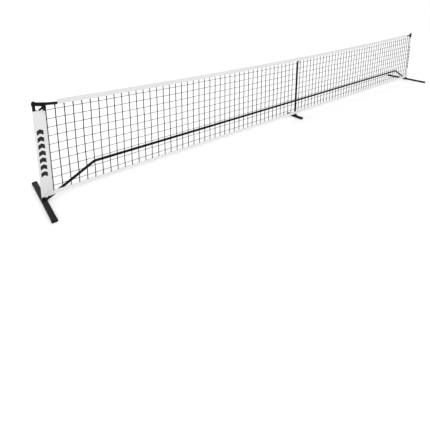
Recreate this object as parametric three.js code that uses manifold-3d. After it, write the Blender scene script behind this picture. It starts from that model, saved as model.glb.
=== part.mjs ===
// Portable pickleball net: a knock-down steel frame, a netting panel with sewn bands, and tensioning straps.
// Millimetres. X runs along the net, Y across it (the net hangs on the -Y side of the frame), Z is up.
// The origin is on the ground under the middle of the net.
import * as THREE from "three";
import { mergeVertices } from "three/addons/utils/BufferGeometryUtils.js";
import Module from "manifold-3d";

const wasm = await Module();
wasm.setup();

// Driving dimensions.
const INCH = 25.4;
const OVERALL_LENGTH = 22 * 12 * INCH;
const POST_TOP = 36 * INCH;
const NET_TOP_CENTER = 34 * INCH;
const SIDE_FOOT_LENGTH = 28 * INCH;
const CENTER_FOOT_LENGTH = 10 * INCH;
const RISER_LENGTH = 19 * INCH;
const BAR_HEIGHT = 242;
const BARS_PER_SIDE = 3;
const GAP = 0.3;
const ROUND = 20;
const SMALL_ROUND = 12;

// Round tube: a plain end slips over the narrowed (swaged) end of the next one.
const TUBE_R = INCH / 2;
const TUBE_WALL = 1.2;
const BORE_R = TUBE_R - TUBE_WALL;
const SPIGOT_R = BORE_R - GAP;
const SPIGOT_BORE_R = SPIGOT_R - TUBE_WALL;
const SPIGOT_LENGTH = 52;
const SHOULDER = 3;

// Snap buttons: a leaf spring inside the spigot with a button through both walls.
const BUTTON_R = 3.2;
const BUTTON_HOLE_R = 4;
const BUTTON_INSET = 20;
const BUTTON_PROUD = 3;
const LEAF_ARM = 28;
const LEAF_WIDTH = 7;
const LEAF_THICKNESS = 0.8;
const LEAF_TOP = 9;

// Feet: a rounded rectangular tube that stands on the lips of its end caps.
const FOOT_WIDTH = 50;
const FOOT_HEIGHT = 28;
const FOOT_CORNER = 9;
const CAP_LIP = 1.2;
const CAP_DEPTH = 24;
const CAP_END = 4;
const FOOT_WALL = 1.5;
const FOOT_INSET = CAP_LIP + GAP;
const FOOT_TUBE_WIDTH = FOOT_WIDTH - 2 * FOOT_INSET;
const FOOT_TUBE_HEIGHT = FOOT_HEIGHT - 2 * FOOT_INSET;
const FOOT_TOP = FOOT_HEIGHT - FOOT_INSET;
const SADDLE = 3;
const SADDLE_LENGTH = 56;
const SADDLE_TOP = FOOT_TOP + GAP + SADDLE;

// Places along the net, measured outwards from its middle.
const POST_X = (OVERALL_LENGTH - FOOT_WIDTH) / 2;
const RISER_ANGLE = THREE.MathUtils.degToRad(27.3);
const RISER_CORNER_X = 2866;
const RISER_START = 12;
const RISER_BEND_R = 45;
const RISER_LEG = 90;
const CROSS_ARM = 60;
const BAR_LENGTH = (RISER_CORNER_X - RISER_LEG - CROSS_ARM) / BARS_PER_SIDE;
const CROSS_TOP = BAR_HEIGHT + 26;
const COLLAR_TOP = 48;
const COLLAR_FLARE = [22, 13.6];
const PLUG_DEPTH = 20;
const PLUG_LEAD = 3;
const PLUG_HEAD = 3.1;
const PLUG_RIM = 1.6;
const PLUG_CROWN_INSET = 2;

// Net panel and its bands. NET_Y is the plane that the netting hangs in.
const NET_Y = -16.7;
const NET_THICKNESS = 1.2;
const NET_EDGE_X = 3246.5;
const NET_BOTTOM = 56;
const BAND_END_X = 3143;
const BAND_TOP_END = 908;
const BAND_HEIGHT = 46;
const BAND_THICKNESS = 7.4;
const BAND_WALL = 1.2;
const BAND_STEPS = 12;
const CORD_R = 2.2;
const CORD_DROP = 7;
const NET_DROP_IN_BAND = 16;
const LOWER_BAND_BOTTOM = 52;
const LOWER_BAND_TOP = 88;
const LOWER_BAND_THICKNESS = 4.4;
const LOWER_BAND_WALL = 1.1;
const SLEEVE_BOTTOM = 50;
const SLEEVE_TOP = 835;
const SLEEVE_WALL = 1.3;
const SLEEVE_FLAP = 1.6;
const SLEEVE_WIDTH = 80.8;
const SLEEVE_SEAM = 37.8;
const SLEEVE_SEAM_RISE = 1.4;
const SLEEVE_TUNNEL_R = TUBE_R + 0.6;
const SLEEVE_OUTER_TURN = [-90.5, 131.9];
const SLEEVE_INNER_TURN = [-87.9, 134.3];
const SLEEVE_TUNNEL_CORNER = [-34, -14.6];
const SLEEVE_STEPS = 18;
const POCKET_R = TUBE_R + 0.7;
const POCKET_FLANGE = 32;
const POCKET_DROP = 66;

// Straps: 25 mm webbing on a line that rises slightly from the band's end to the top of the post.
const WEB_WIDTH = 25;
const WEB_THICKNESS = 1.5;
const STRAP_HEIGHT = 893.2;
const STRAP_SLOPE = Math.atan2(19, 174);
const STRAP_LOOP_R = TUBE_R + 2.4;
const STRAP_LOOP_TURN = [-69.6, -265.9];
const STRAP_END_U = 120;
const STRAP_BACK_W = 15.05;
const STRAP_CAM_W = 18.75;
const STRAP_TAIL_W = 23;
const STRAP_TAIL_U = 88;
const STRAP_TAIL_DROP = 55;
const ANCHOR_END_U = 184;
const ANCHOR_W = 18.35;
const ANCHOR_BAR = [73, 16.95];
const ANCHOR_FOLD_R = 1.8;

// Cam buckle, in the strap's frame.
const BUCKLE_BASE_W = 16.2;
const BUCKLE_PLATE = 1.5;
const BUCKLE_HALF = 15.5;
const BUCKLE_U = [40, 78.5];
const CHEEK_U = [42, 58];
const CHEEK_THICKNESS = 2.2;
const CHEEK_OVER_PIN = 3;
const SLOT_U = [66, 74];
const SLOT_HALF = WEB_WIDTH / 2 + 0.6;
const CAM_PIN_U = 50;
const CAM_PIN_R = 1.4;
const CAM_R = 3.9;
const HANDLE_TIP_U = 24;
const HANDLE_OVER_PIN = [0.6, 3.2];
const THROUGH = 20;

// Materials.
function material(color, roughness, metalness) {
  return () => new THREE.MeshStandardMaterial({ color, roughness, metalness });
}
const blackSteel = material(0x121314, 0.38, 0.6);
const blackPlastic = material(0x0c0c0d, 0.55, 0);
const springSteel = material(0xb4b6b8, 0.3, 1);
const whiteFabric = material(0xf1f1ef, 0.85, 0);
const greyFabric = material(0xdedede, 0.85, 0);
const blackNetting = material(0x141414, 0.9, 0);
const blackWebbing = material(0x101010, 0.8, 0);
const whiteCord = material(0xe6e6e0, 0.8, 0);

// Solids.
function toSolid(geometry) {
  const plain = geometry.clone();
  plain.deleteAttribute("normal");
  plain.deleteAttribute("uv");
  const merged = mergeVertices(plain, 1e-4);
  return new wasm.Manifold(
    new wasm.Mesh({
      numProp: 3,
      vertProperties: merged.attributes.position.array,
      triVerts: new Uint32Array(merged.index.array),
    }),
  );
}

function toGeometry(solid) {
  const mesh = solid.getMesh();
  const geometry = new THREE.BufferGeometry();
  geometry.setAttribute("position", new THREE.BufferAttribute(mesh.vertProperties, 3));
  geometry.setIndex(new THREE.BufferAttribute(mesh.triVerts, 1));
  geometry.computeVertexNormals();
  return geometry;
}

function combine(base, added = [], removed = []) {
  let solid = toSolid(base);
  added.forEach((g) => (solid = solid.add(toSolid(g))));
  removed.forEach((g) => (solid = solid.subtract(toSolid(g))));
  return toGeometry(solid);
}

function named(name, geometry, makeMaterial) {
  const mesh = new THREE.Mesh(geometry, makeMaterial());
  mesh.name = name;
  return mesh;
}

// Shapes. A turned shape stands on the XY plane along +Z.
function turned(profile, segments = ROUND) {
  const points = profile.map(([r, z]) => new THREE.Vector2(r, z));
  return new THREE.LatheGeometry(points, segments).rotateX(Math.PI / 2);
}

function rod(radius, from, to, segments = ROUND) {
  return turned([[0, from], [radius, from], [radius, to], [0, to]], segments);
}

function pipe(outer, inner, from, to) {
  return turned([[inner, from], [outer, from], [outer, to], [inner, to], [inner, from]]);
}

function block(x, y, z) {
  const size = [x, y, z].map(([low, high]) => high - low);
  const middle = [x, y, z].map(([low, high]) => (high + low) / 2);
  return new THREE.BoxGeometry(...size).translate(...middle);
}

function roundedOutline(width, height, corner) {
  const [w, h] = [width / 2, height / 2];
  const shape = new THREE.Shape();
  shape.moveTo(w - corner, -h);
  shape.absarc(w - corner, -h + corner, corner, -Math.PI / 2, 0);
  shape.absarc(w - corner, h - corner, corner, 0, Math.PI / 2);
  shape.absarc(-w + corner, h - corner, corner, Math.PI / 2, Math.PI);
  shape.absarc(-w + corner, -h + corner, corner, Math.PI, 1.5 * Math.PI);
  shape.closePath();
  return shape;
}

// An outline in X and Z, extruded in Y from front to back.
function upright(shape, front, back, curveSegments = 3) {
  const geometry = new THREE.ExtrudeGeometry(shape, {
    depth: back - front,
    bevelEnabled: false,
    curveSegments,
  });
  return geometry.rotateX(Math.PI / 2).translate(0, back, 0);
}

// An outline in X and Y, extruded in Z.
function standing(shape, bottom, top, curveSegments = 3) {
  const geometry = new THREE.ExtrudeGeometry(shape, {
    depth: top - bottom,
    bevelEnabled: false,
    curveSegments,
  });
  return geometry.translate(0, 0, bottom);
}

function outlineOf(points) {
  return new THREE.Shape(points.map(([x, y]) => new THREE.Vector2(x, y)));
}

function arc(cx, cy, radius, fromDegrees, toDegrees, steps) {
  return Array.from({ length: steps + 1 }, (_, i) => {
    const a = THREE.MathUtils.degToRad(fromDegrees + ((toDegrees - fromDegrees) * i) / steps);
    return [cx + radius * Math.cos(a), cy + radius * Math.sin(a)];
  });
}

// The outline of a band of even thickness along a line of points.
function ribbonOutline(points, thickness) {
  const line = points.map(([x, y]) => new THREE.Vector2(x, y));
  const sides = line.map((point, i) => {
    const before = line[Math.max(i - 1, 0)];
    const after = line[Math.min(i + 1, line.length - 1)];
    const along = after.clone().sub(before).normalize();
    const across = new THREE.Vector2(-along.y, along.x).multiplyScalar(thickness / 2);
    return [point.clone().add(across), point.clone().sub(across)];
  });
  const left = sides.map(([a]) => a);
  const right = sides.map(([, b]) => b).reverse();
  return new THREE.Shape([...right, ...left].reverse());
}

// A path whose stations are used one by one, so that straight runs need no steps.
class StationPath extends THREE.Curve {
  constructor(stations) {
    super();
    this.stations = stations;
  }
  at(u) {
    return this.stations[Math.round(u * (this.stations.length - 1))];
  }
  getPoint(u) {
    return this.at(u).point.clone();
  }
  getPointAt(u) {
    return this.getPoint(u);
  }
  getTangentAt(u) {
    return this.at(u).tangent.clone();
  }
}

function bentRod(radius, stations, sides) {
  const section = outlineOf(arc(0, 0, radius, 0, 360 - 360 / sides, sides - 1));
  return new THREE.ExtrudeGeometry(section, {
    steps: stations.length - 1,
    extrudePath: new StationPath(stations),
    bevelEnabled: false,
  });
}

// Places a geometry built along +Z so that it runs from a point in a direction.
function aim(geometry, from, direction) {
  const turn = new THREE.Quaternion().setFromUnitVectors(new THREE.Vector3(0, 0, 1), direction);
  return geometry.applyQuaternion(turn).translate(from.x, from.y, from.z);
}

const UP = new THREE.Vector3(0, 0, 1);
const BACK = new THREE.Vector3(0, 1, 0);
const OUT = new THREE.Vector3(1, 0, 0);
const at = (x, y, z) => new THREE.Vector3(x, y, z);

function buttonHole(joint) {
  return aim(rod(BUTTON_HOLE_R, 4, TUBE_R + 4, SMALL_ROUND), joint.point, joint.outward);
}

// joint: point on the tube's axis under the button, the way the button faces, and the way its leaf runs.
function snapButton(joint) {
  const leaf = block(
    [-BUTTON_R - 1, LEAF_ARM],
    [-LEAF_WIDTH / 2, LEAF_WIDTH / 2],
    [LEAF_TOP - LEAF_THICKNESS, LEAF_TOP],
  );
  const top = TUBE_R + BUTTON_PROUD;
  const seat = LEAF_TOP - LEAF_THICKNESS / 2;
  const profile = [[0, seat], [BUTTON_R, seat], [BUTTON_R, top - 1], [BUTTON_R - 1, top], [0, top]];
  const button = turned(profile, SMALL_ROUND);
  const geometry = combine(leaf, [button]);
  const side = joint.outward.clone().cross(joint.leaf);
  const frame = new THREE.Matrix4().makeBasis(joint.leaf, side, joint.outward);
  return geometry.applyMatrix4(frame.setPosition(joint.point));
}

// Feet.
function footTube(length) {
  const shape = roundedOutline(FOOT_TUBE_WIDTH, FOOT_TUBE_HEIGHT, FOOT_CORNER - FOOT_INSET);
  const hole = roundedOutline(
    FOOT_TUBE_WIDTH - 2 * FOOT_WALL,
    FOOT_TUBE_HEIGHT - 2 * FOOT_WALL,
    FOOT_CORNER - FOOT_INSET - FOOT_WALL,
  );
  shape.holes.push(hole);
  const half = length / 2 - CAP_END - GAP;
  return upright(shape, -half, half).translate(0, 0, FOOT_HEIGHT / 2);
}

function footCap(length, end) {
  const outer = length / 2;
  const body = upright(roundedOutline(FOOT_WIDTH, FOOT_HEIGHT, FOOT_CORNER), outer - CAP_DEPTH, outer);
  const pocket = upright(
    roundedOutline(FOOT_WIDTH - 2 * CAP_LIP, FOOT_HEIGHT - 2 * CAP_LIP, FOOT_CORNER - CAP_LIP),
    outer - CAP_DEPTH - 1,
    outer - CAP_END,
  );
  const cap = combine(body, [], [pocket]).translate(0, 0, FOOT_HEIGHT / 2);
  return end === "front" ? cap.rotateZ(Math.PI) : cap;
}

function addFoot(group, prefix, length) {
  group.add(named(`${prefix}_foot_tube`, footTube(length), blackSteel));
  for (const end of ["front", "back"]) {
    group.add(named(`${prefix}_foot_cap_${end}`, footCap(length, end), blackPlastic));
  }
}

// Bars: plain end at z = 0, spigot beyond BAR_LENGTH. A hole near each end takes a snap button.
function barTube() {
  const end = BAR_LENGTH - GAP;
  return turned([
    [BORE_R, 0],
    [TUBE_R, 0],
    [TUBE_R, end - SHOULDER],
    [SPIGOT_R, end],
    [SPIGOT_R, end + SPIGOT_LENGTH],
    [SPIGOT_BORE_R, end + SPIGOT_LENGTH],
    [SPIGOT_BORE_R, end - 2],
    [BORE_R, end - 2 - 2 * SHOULDER],
    [BORE_R, 0],
  ]);
}

function barJoint(x) {
  return { point: at(x, 0, BAR_HEIGHT), outward: UP, leaf: OUT };
}

function bar(index) {
  const inner = CROSS_ARM + BAR_LENGTH * (BARS_PER_SIDE - index);
  const tube = aim(barTube(), at(inner, 0, BAR_HEIGHT), OUT);
  const holes = [inner, inner + BAR_LENGTH].map((x) => buttonHole(barJoint(x + BUTTON_INSET)));
  return combine(tube, [], holes);
}

// Riser: a slanted tube from the foot that bends level and takes the first bar.
const riserUp = at(-Math.cos(RISER_ANGLE), 0, Math.sin(RISER_ANGLE));
const riserOut = at(Math.sin(RISER_ANGLE), 0, Math.cos(RISER_ANGLE));
const riserCorner = at(RISER_CORNER_X, 0, BAR_HEIGHT);
const riserFoot = riserCorner.clone().addScaledVector(riserUp, -RISER_LENGTH);
const riserJoint = {
  point: riserFoot.clone().addScaledVector(riserUp, RISER_START + BUTTON_INSET),
  outward: riserOut,
  leaf: riserUp,
};

function riser() {
  const inward = at(-1, 0, 0);
  const tangent = RISER_BEND_R * Math.tan(RISER_ANGLE / 2);
  const bendCenter = at(RISER_CORNER_X - tangent, 0, BAR_HEIGHT - RISER_BEND_R);
  const bendSteps = 6;
  const bend = Array.from({ length: bendSteps + 1 }, (_, i) => {
    const a = RISER_ANGLE * (1 - i / bendSteps);
    return {
      point: bendCenter.clone().add(at(Math.sin(a), 0, Math.cos(a)).multiplyScalar(RISER_BEND_R)),
      tangent: at(-Math.cos(a), 0, Math.sin(a)),
    };
  });
  const stations = (extra) => [
    { point: riserFoot.clone().addScaledVector(riserUp, RISER_START - extra), tangent: riserUp },
    ...bend,
    { point: at(RISER_CORNER_X - RISER_LEG - extra, 0, BAR_HEIGHT), tangent: inward },
  ];
  const legHole = barJoint(RISER_CORNER_X - RISER_LEG + BUTTON_INSET);
  return combine(
    bentRod(TUBE_R, stations(0), ROUND),
    [],
    [bentRod(BORE_R, stations(1), ROUND), buttonHole(riserJoint), buttonHole(legHole)],
  );
}

// Side foot bracket: a saddle over the foot with an upright and a slanted spigot.
const postJoint = { point: at(POST_X, 0, SADDLE_TOP + GAP + BUTTON_INSET / 2), outward: OUT, leaf: UP };
const SLANTED_ROOT = 12;

function footBracket() {
  const half = SADDLE_LENGTH / 2;
  const inside = POST_X - FOOT_TUBE_WIDTH / 2 - GAP;
  const outside = POST_X + FOOT_TUBE_WIDTH / 2 - 4;
  const top = block([inside - SADDLE, outside], [-half, half], [FOOT_TOP + GAP, SADDLE_TOP]);
  const wall = block([inside - SADDLE, inside], [-half, half], [FOOT_INSET + 1, SADDLE_TOP]);
  const stub = rod(SPIGOT_R, SADDLE_TOP - 1, SADDLE_TOP + SPIGOT_LENGTH).translate(POST_X, 0, 0);
  const stubBore = rod(SPIGOT_BORE_R, SADDLE_TOP, SADDLE_TOP + SPIGOT_LENGTH + 1).translate(POST_X, 0, 0);
  const root = riserFoot.clone().addScaledVector(riserUp, -SLANTED_ROOT);
  const slantedLength = SLANTED_ROOT + RISER_START + SPIGOT_LENGTH;
  const slanted = aim(rod(SPIGOT_R, 0, slantedLength), root, riserUp);
  const slantedBore = aim(rod(SPIGOT_BORE_R, SLANTED_ROOT + 2, slantedLength + 1), root, riserUp);
  const footSpace = block([inside, POST_X + FOOT_WIDTH], [-half - 1, half + 1], [-20, FOOT_TOP + GAP]);
  return combine(
    top,
    [wall, stub, slanted],
    [stubBore, slantedBore, footSpace, buttonHole(postJoint), buttonHole(riserJoint)],
  );
}

function post() {
  const tube = pipe(TUBE_R, BORE_R, SADDLE_TOP + GAP, POST_TOP - PLUG_HEAD - GAP).translate(POST_X, 0, 0);
  return combine(tube, [], [buttonHole(postJoint)]);
}

function plugCap(x, seat) {
  return turned([
    [0, seat - PLUG_DEPTH],
    [BORE_R - 3 * GAP, seat - PLUG_DEPTH],
    [BORE_R - GAP, seat - PLUG_DEPTH + PLUG_LEAD],
    [BORE_R - GAP, seat],
    [TUBE_R, seat],
    [TUBE_R, seat + PLUG_RIM],
    [TUBE_R - PLUG_CROWN_INSET, seat + PLUG_HEAD],
    [0, seat + PLUG_HEAD],
  ]).translate(x, 0, 0);
}

// Centre: a collar on the foot, a welded cross and the upper post.
const crossFootJoint = { point: at(0, 0, COLLAR_TOP + GAP + BUTTON_INSET), outward: BACK, leaf: UP };
const crossTopJoint = { point: at(0, 0, CROSS_TOP + BUTTON_INSET), outward: BACK, leaf: UP };
const crossArmJoint = barJoint(CROSS_ARM + BUTTON_INSET);
const CENTER_POST_TOP = NET_TOP_CENTER - 6;

function centerCollar() {
  const half = SADDLE_LENGTH / 2;
  const side = FOOT_TUBE_WIDTH / 2 - 3;
  const plate = block([-side, side], [-half, half], [FOOT_TOP + GAP, SADDLE_TOP]);
  const flareHeight = COLLAR_TOP - SADDLE_TOP + 1;
  const [bottomHalf, topHalf] = COLLAR_FLARE.map((half) => half * Math.SQRT2);
  const flare = new THREE.CylinderGeometry(topHalf, bottomHalf, flareHeight, 4)
    .rotateY(Math.PI / 4)
    .rotateX(Math.PI / 2)
    .scale(0.92, 1, 1)
    .translate(0, 0, COLLAR_TOP - flareHeight / 2);
  const spigot = rod(SPIGOT_R, COLLAR_TOP - 2, COLLAR_TOP + SPIGOT_LENGTH);
  const bore = rod(SPIGOT_BORE_R, SADDLE_TOP, COLLAR_TOP + SPIGOT_LENGTH + 1);
  return combine(plate, [flare, spigot], [bore, buttonHole(crossFootJoint)]);
}

function centerCross() {
  const reach = CROSS_ARM + SPIGOT_LENGTH;
  const level = at(0, 0, BAR_HEIGHT);
  const along = (radius, length) => aim(rod(radius, -length, length), level, OUT);
  const mirrored = (joint) => buttonHole({ ...joint, point: joint.point.clone().setX(-joint.point.x) });
  return combine(
    rod(TUBE_R, COLLAR_TOP + GAP, CROSS_TOP - GAP),
    [
      rod(SPIGOT_R, CROSS_TOP - 1, CROSS_TOP + SPIGOT_LENGTH),
      along(TUBE_R, CROSS_ARM - GAP),
      along(SPIGOT_R, reach),
    ],
    [
      rod(BORE_R, COLLAR_TOP, BAR_HEIGHT - TUBE_R),
      rod(SPIGOT_BORE_R, BAR_HEIGHT - TUBE_R - 1, CROSS_TOP + SPIGOT_LENGTH + 1),
      along(SPIGOT_BORE_R, reach + 1),
      buttonHole(crossFootJoint),
      buttonHole(crossTopJoint),
      buttonHole(crossArmJoint),
      mirrored(crossArmJoint),
    ],
  );
}

function centerPost() {
  return combine(pipe(TUBE_R, BORE_R, CROSS_TOP, CENTER_POST_TOP), [], [buttonHole(crossTopJoint)]);
}

// The net's top edge hangs in a shallow parabola from the band's ends.
function bandTop(x) {
  return NET_TOP_CENTER + (BAND_TOP_END - NET_TOP_CENTER) * (x / BAND_END_X) ** 2;
}

function bandLine(drop, fromX, toX, steps = BAND_STEPS) {
  return Array.from({ length: steps + 1 }, (_, i) => {
    const x = fromX + ((toX - fromX) * i) / steps;
    return [x, bandTop(x) - drop];
  });
}

function strapZ(x) {
  return STRAP_HEIGHT - (POST_X - Math.abs(x)) * Math.tan(STRAP_SLOPE);
}

// The netting and its top band are each made in two halves, which meet at the lowest point of the dip.
function netPanel() {
  const step = BAND_END_X + 2;
  const outline = outlineOf([
    [GAP / 2, NET_BOTTOM],
    [NET_EDGE_X, NET_BOTTOM],
    [NET_EDGE_X, strapZ(NET_EDGE_X)],
    [step, strapZ(step)],
    ...bandLine(NET_DROP_IN_BAND, GAP / 2, BAND_END_X - 2).reverse(),
  ]);
  return upright(outline, NET_Y - NET_THICKNESS / 2, NET_Y + NET_THICKNESS / 2);
}

function topBand() {
  const half = BAND_THICKNESS / 2;
  const fold = (top, bottom, beyond, reach) => {
    const ends = [GAP / 2 - beyond, BAND_END_X + beyond];
    const outline = outlineOf([...bandLine(bottom, ...ends), ...bandLine(top, ...ends).reverse()]);
    return upright(outline, NET_Y - reach, NET_Y + reach);
  };
  return combine(
    fold(0, BAND_HEIGHT, 0, half),
    [],
    [fold(BAND_WALL, BAND_HEIGHT + 2, 1, half - BAND_WALL)],
  );
}

function topCord() {
  const stations = bandLine(CORD_DROP, -BAND_END_X, BAND_END_X, 2 * BAND_STEPS).map(([x, z]) => {
    const slope = (2 * x * (BAND_TOP_END - NET_TOP_CENTER)) / BAND_END_X ** 2;
    return { point: at(x, NET_Y, z), tangent: at(1, 0, slope).normalize() };
  });
  return bentRod(CORD_R, stations, 8);
}

function bottomBand() {
  const fold = (thickness, bottom, top, endX) =>
    block([-endX, endX], [NET_Y - thickness / 2, NET_Y + thickness / 2], [bottom, top]);
  return combine(
    fold(LOWER_BAND_THICKNESS, LOWER_BAND_BOTTOM, LOWER_BAND_TOP, NET_EDGE_X),
    [],
    [
      fold(
        LOWER_BAND_THICKNESS - 2 * LOWER_BAND_WALL,
        LOWER_BAND_BOTTOM + LOWER_BAND_WALL,
        LOWER_BAND_TOP + 1,
        NET_EDGE_X + 1,
      ),
    ],
  );
}

// Side sleeve: wraps the post and closes into a flap that the netting is sewn to.
function sleeve() {
  const flapY = NET_Y + SLEEVE_FLAP / 2;
  const outer = outlineOf([
    [-SLEEVE_WIDTH, flapY - SLEEVE_FLAP],
    [-SLEEVE_SEAM, flapY - SLEEVE_FLAP + SLEEVE_SEAM_RISE],
    ...arc(0, 0, SLEEVE_TUNNEL_R + SLEEVE_WALL, ...SLEEVE_OUTER_TURN, SLEEVE_STEPS),
    [-SLEEVE_SEAM, flapY + SLEEVE_FLAP],
    [-SLEEVE_WIDTH, flapY],
  ]);
  const tunnel = arc(0, 0, SLEEVE_TUNNEL_R, ...SLEEVE_INNER_TURN, SLEEVE_STEPS);
  outer.holes.push(outlineOf([SLEEVE_TUNNEL_CORNER, ...tunnel]));
  return standing(outer, SLEEVE_BOTTOM, SLEEVE_TOP).translate(POST_X, 0, 0);
}

// Fabric pocket behind the middle of the band, which sits on the upper post.
function centerPocket() {
  const wall = SLEEVE_WALL;
  const inner = POCKET_R;
  const front = NET_Y + BAND_THICKNESS / 2 + GAP;
  const bottom = NET_TOP_CENTER - POCKET_DROP;
  const top = NET_TOP_CENTER - 1;
  const flange = POCKET_FLANGE;
  const wrap = outlineOf([
    [flange, front],
    [flange, front + wall],
    [inner + wall + 1, front + wall],
    ...arc(0, 0, inner + wall, 0, 180, 16),
    [-inner - wall - 1, front + wall],
    [-flange, front + wall],
    [-flange, front],
  ]);
  const hollow = outlineOf([[inner, front - 1], ...arc(0, 0, inner, 0, 180, 16), [-inner, front - 1]]);
  return combine(standing(wrap, bottom, top), [], [standing(hollow, bottom - 1, top - wall)]);
}

// Strap assembly, in a frame of its own: x runs from the post's axis towards the net, y towards the front,
// and z up across the webbing.
function ribbon(points) {
  return standing(ribbonOutline(points, WEB_THICKNESS), -WEB_WIDTH / 2, WEB_WIDTH / 2);
}

// Goes round the post from the back of the net's corner, through the cam buckle, and ends in two loose tails.
function tensionStrap() {
  const loop = ribbon([
    [STRAP_END_U, STRAP_BACK_W],
    [86, STRAP_BACK_W],
    ...arc(0, 0, STRAP_LOOP_R + WEB_THICKNESS / 2, ...STRAP_LOOP_TURN, 18),
    [36, STRAP_CAM_W],
    [60, STRAP_CAM_W],
    [68, STRAP_TAIL_W],
    [STRAP_TAIL_U, STRAP_TAIL_W],
  ]);
  const tails = new THREE.Shape();
  tails.moveTo(STRAP_TAIL_U, 0);
  tails.lineTo(62, 0);
  tails.lineTo(60, -18);
  tails.quadraticCurveTo(54, -37, 30, -44);
  tails.lineTo(38, -STRAP_TAIL_DROP);
  tails.quadraticCurveTo(60, -46, 67, -34);
  tails.lineTo(66, -STRAP_TAIL_DROP);
  tails.lineTo(86, -STRAP_TAIL_DROP);
  tails.closePath();
  const half = WEB_THICKNESS / 2;
  return combine(loop, [upright(tails, STRAP_TAIL_W - half, STRAP_TAIL_W + half)]);
}

// Sewn along the net's top corner and looped round the buckle's bar.
function anchorStrap() {
  const [barU, barW] = ANCHOR_BAR;
  return ribbon([
    [ANCHOR_END_U, ANCHOR_W],
    [84, ANCHOR_W],
    [78, barW + ANCHOR_FOLD_R],
    ...arc(barU, barW, ANCHOR_FOLD_R, 90, 270, 8),
    [80.5, barW - ANCHOR_FOLD_R],
  ]);
}

const pinHeight = BUCKLE_BASE_W + BUCKLE_PLATE + GAP + WEB_THICKNESS + GAP + CAM_R;

function pinHole() {
  return rod(CAM_PIN_R + GAP, -THROUGH, THROUGH, SMALL_ROUND).translate(CAM_PIN_U, pinHeight, 0);
}

function buckleFrame() {
  const base = [BUCKLE_BASE_W, BUCKLE_BASE_W + BUCKLE_PLATE];
  const cheeks = [-1, 1].map((side) => {
    const faces = [BUCKLE_HALF, BUCKLE_HALF - CHEEK_THICKNESS].map((z) => side * z);
    return block(CHEEK_U, [BUCKLE_BASE_W, pinHeight + CHEEK_OVER_PIN], faces.sort((a, b) => a - b));
  });
  return combine(
    block(BUCKLE_U, base, [-BUCKLE_HALF, BUCKLE_HALF]),
    cheeks,
    [block(SLOT_U, [0, THROUGH], [-SLOT_HALF, SLOT_HALF]), pinHole()],
  );
}

function buckleLever() {
  const half = BUCKLE_HALF - CHEEK_THICKNESS - GAP;
  const drum = rod(CAM_R, -half, half, SMALL_ROUND * 2).translate(CAM_PIN_U, pinHeight, 0);
  const handleHeights = HANDLE_OVER_PIN.map((rise) => pinHeight + rise);
  const handle = block([HANDLE_TIP_U, CAM_PIN_U], handleHeights, [-half, half]);
  return combine(drum, [handle], [pinHole()]);
}

function bucklePin() {
  const half = BUCKLE_HALF + 0.5;
  return rod(CAM_PIN_R, -half, half, SMALL_ROUND).translate(CAM_PIN_U, pinHeight, 0);
}

function strapAssembly(side) {
  const group = new THREE.Group();
  group.add(named(`${side}_anchor_strap`, anchorStrap(), blackWebbing));
  group.add(named(`${side}_tension_strap`, tensionStrap(), blackWebbing));
  group.add(named(`${side}_buckle_frame`, buckleFrame(), blackPlastic));
  group.add(named(`${side}_buckle_pin`, bucklePin(), springSteel));
  group.add(named(`${side}_buckle_lever`, buckleLever(), blackPlastic));
  group.position.set(POST_X, 0, STRAP_HEIGHT);
  group.rotation.set(0, STRAP_SLOPE, Math.PI, "ZYX");
  return group;
}

// One end of the net and its half of the frame, built on the +X side.
function endAssembly(side) {
  const group = new THREE.Group();
  const foot = new THREE.Group();
  addFoot(foot, side, SIDE_FOOT_LENGTH);
  foot.position.x = POST_X;
  group.add(foot);
  group.add(named(`${side}_foot_bracket`, footBracket(), blackSteel));
  group.add(named(`${side}_post`, post(), blackSteel));
  group.add(named(`${side}_post_cap`, plugCap(POST_X, POST_TOP - PLUG_HEAD), blackPlastic));
  group.add(named(`${side}_post_button`, snapButton(postJoint), springSteel));
  group.add(named(`${side}_riser`, riser(), blackSteel));
  group.add(named(`${side}_riser_button`, snapButton(riserJoint), springSteel));
  for (let index = 1; index <= BARS_PER_SIDE; index += 1) {
    const buttonX = CROSS_ARM + BAR_LENGTH * (BARS_PER_SIDE + 1 - index) + BUTTON_INSET;
    group.add(named(`${side}_bar_${index}`, bar(index), blackSteel));
    group.add(named(`${side}_bar_${index}_button`, snapButton(barJoint(buttonX)), springSteel));
  }
  group.add(named(`${side}_arm_button`, snapButton(crossArmJoint), springSteel));
  group.add(named(`${side}_net_panel`, netPanel(), blackNetting));
  group.add(named(`${side}_top_band`, topBand(), whiteFabric));
  group.add(named(`${side}_sleeve`, sleeve(), greyFabric));
  group.add(strapAssembly(side));
  return group;
}

function centerAssembly() {
  const group = new THREE.Group();
  addFoot(group, "center", CENTER_FOOT_LENGTH);
  group.add(named("center_collar", centerCollar(), blackSteel));
  group.add(named("center_cross", centerCross(), blackSteel));
  group.add(named("center_lower_button", snapButton(crossFootJoint), springSteel));
  group.add(named("center_post", centerPost(), blackSteel));
  group.add(named("center_upper_button", snapButton(crossTopJoint), springSteel));
  group.add(named("center_post_cap", plugCap(0, CENTER_POST_TOP + GAP), blackPlastic));
  group.add(named("center_pocket", centerPocket(), whiteFabric));
  return group;
}

function netAssembly() {
  const group = new THREE.Group();
  group.add(named("top_cord", topCord(), whiteCord));
  group.add(named("bottom_band", bottomBand(), whiteFabric));
  return group;
}

const net = new THREE.Group();
const leftEnd = endAssembly("left");
leftEnd.scale.x = -1;
net.add(endAssembly("right"), leftEnd, centerAssembly(), netAssembly());

export default net;
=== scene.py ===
"""Portable pickleball net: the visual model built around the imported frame.

Metres, in the CAD frame: X along the net, the netting on the -Y side of the frame, Z up.
"""

import math

import bmesh
import bpy
import numpy as np
from mathutils import Matrix, Vector


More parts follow.
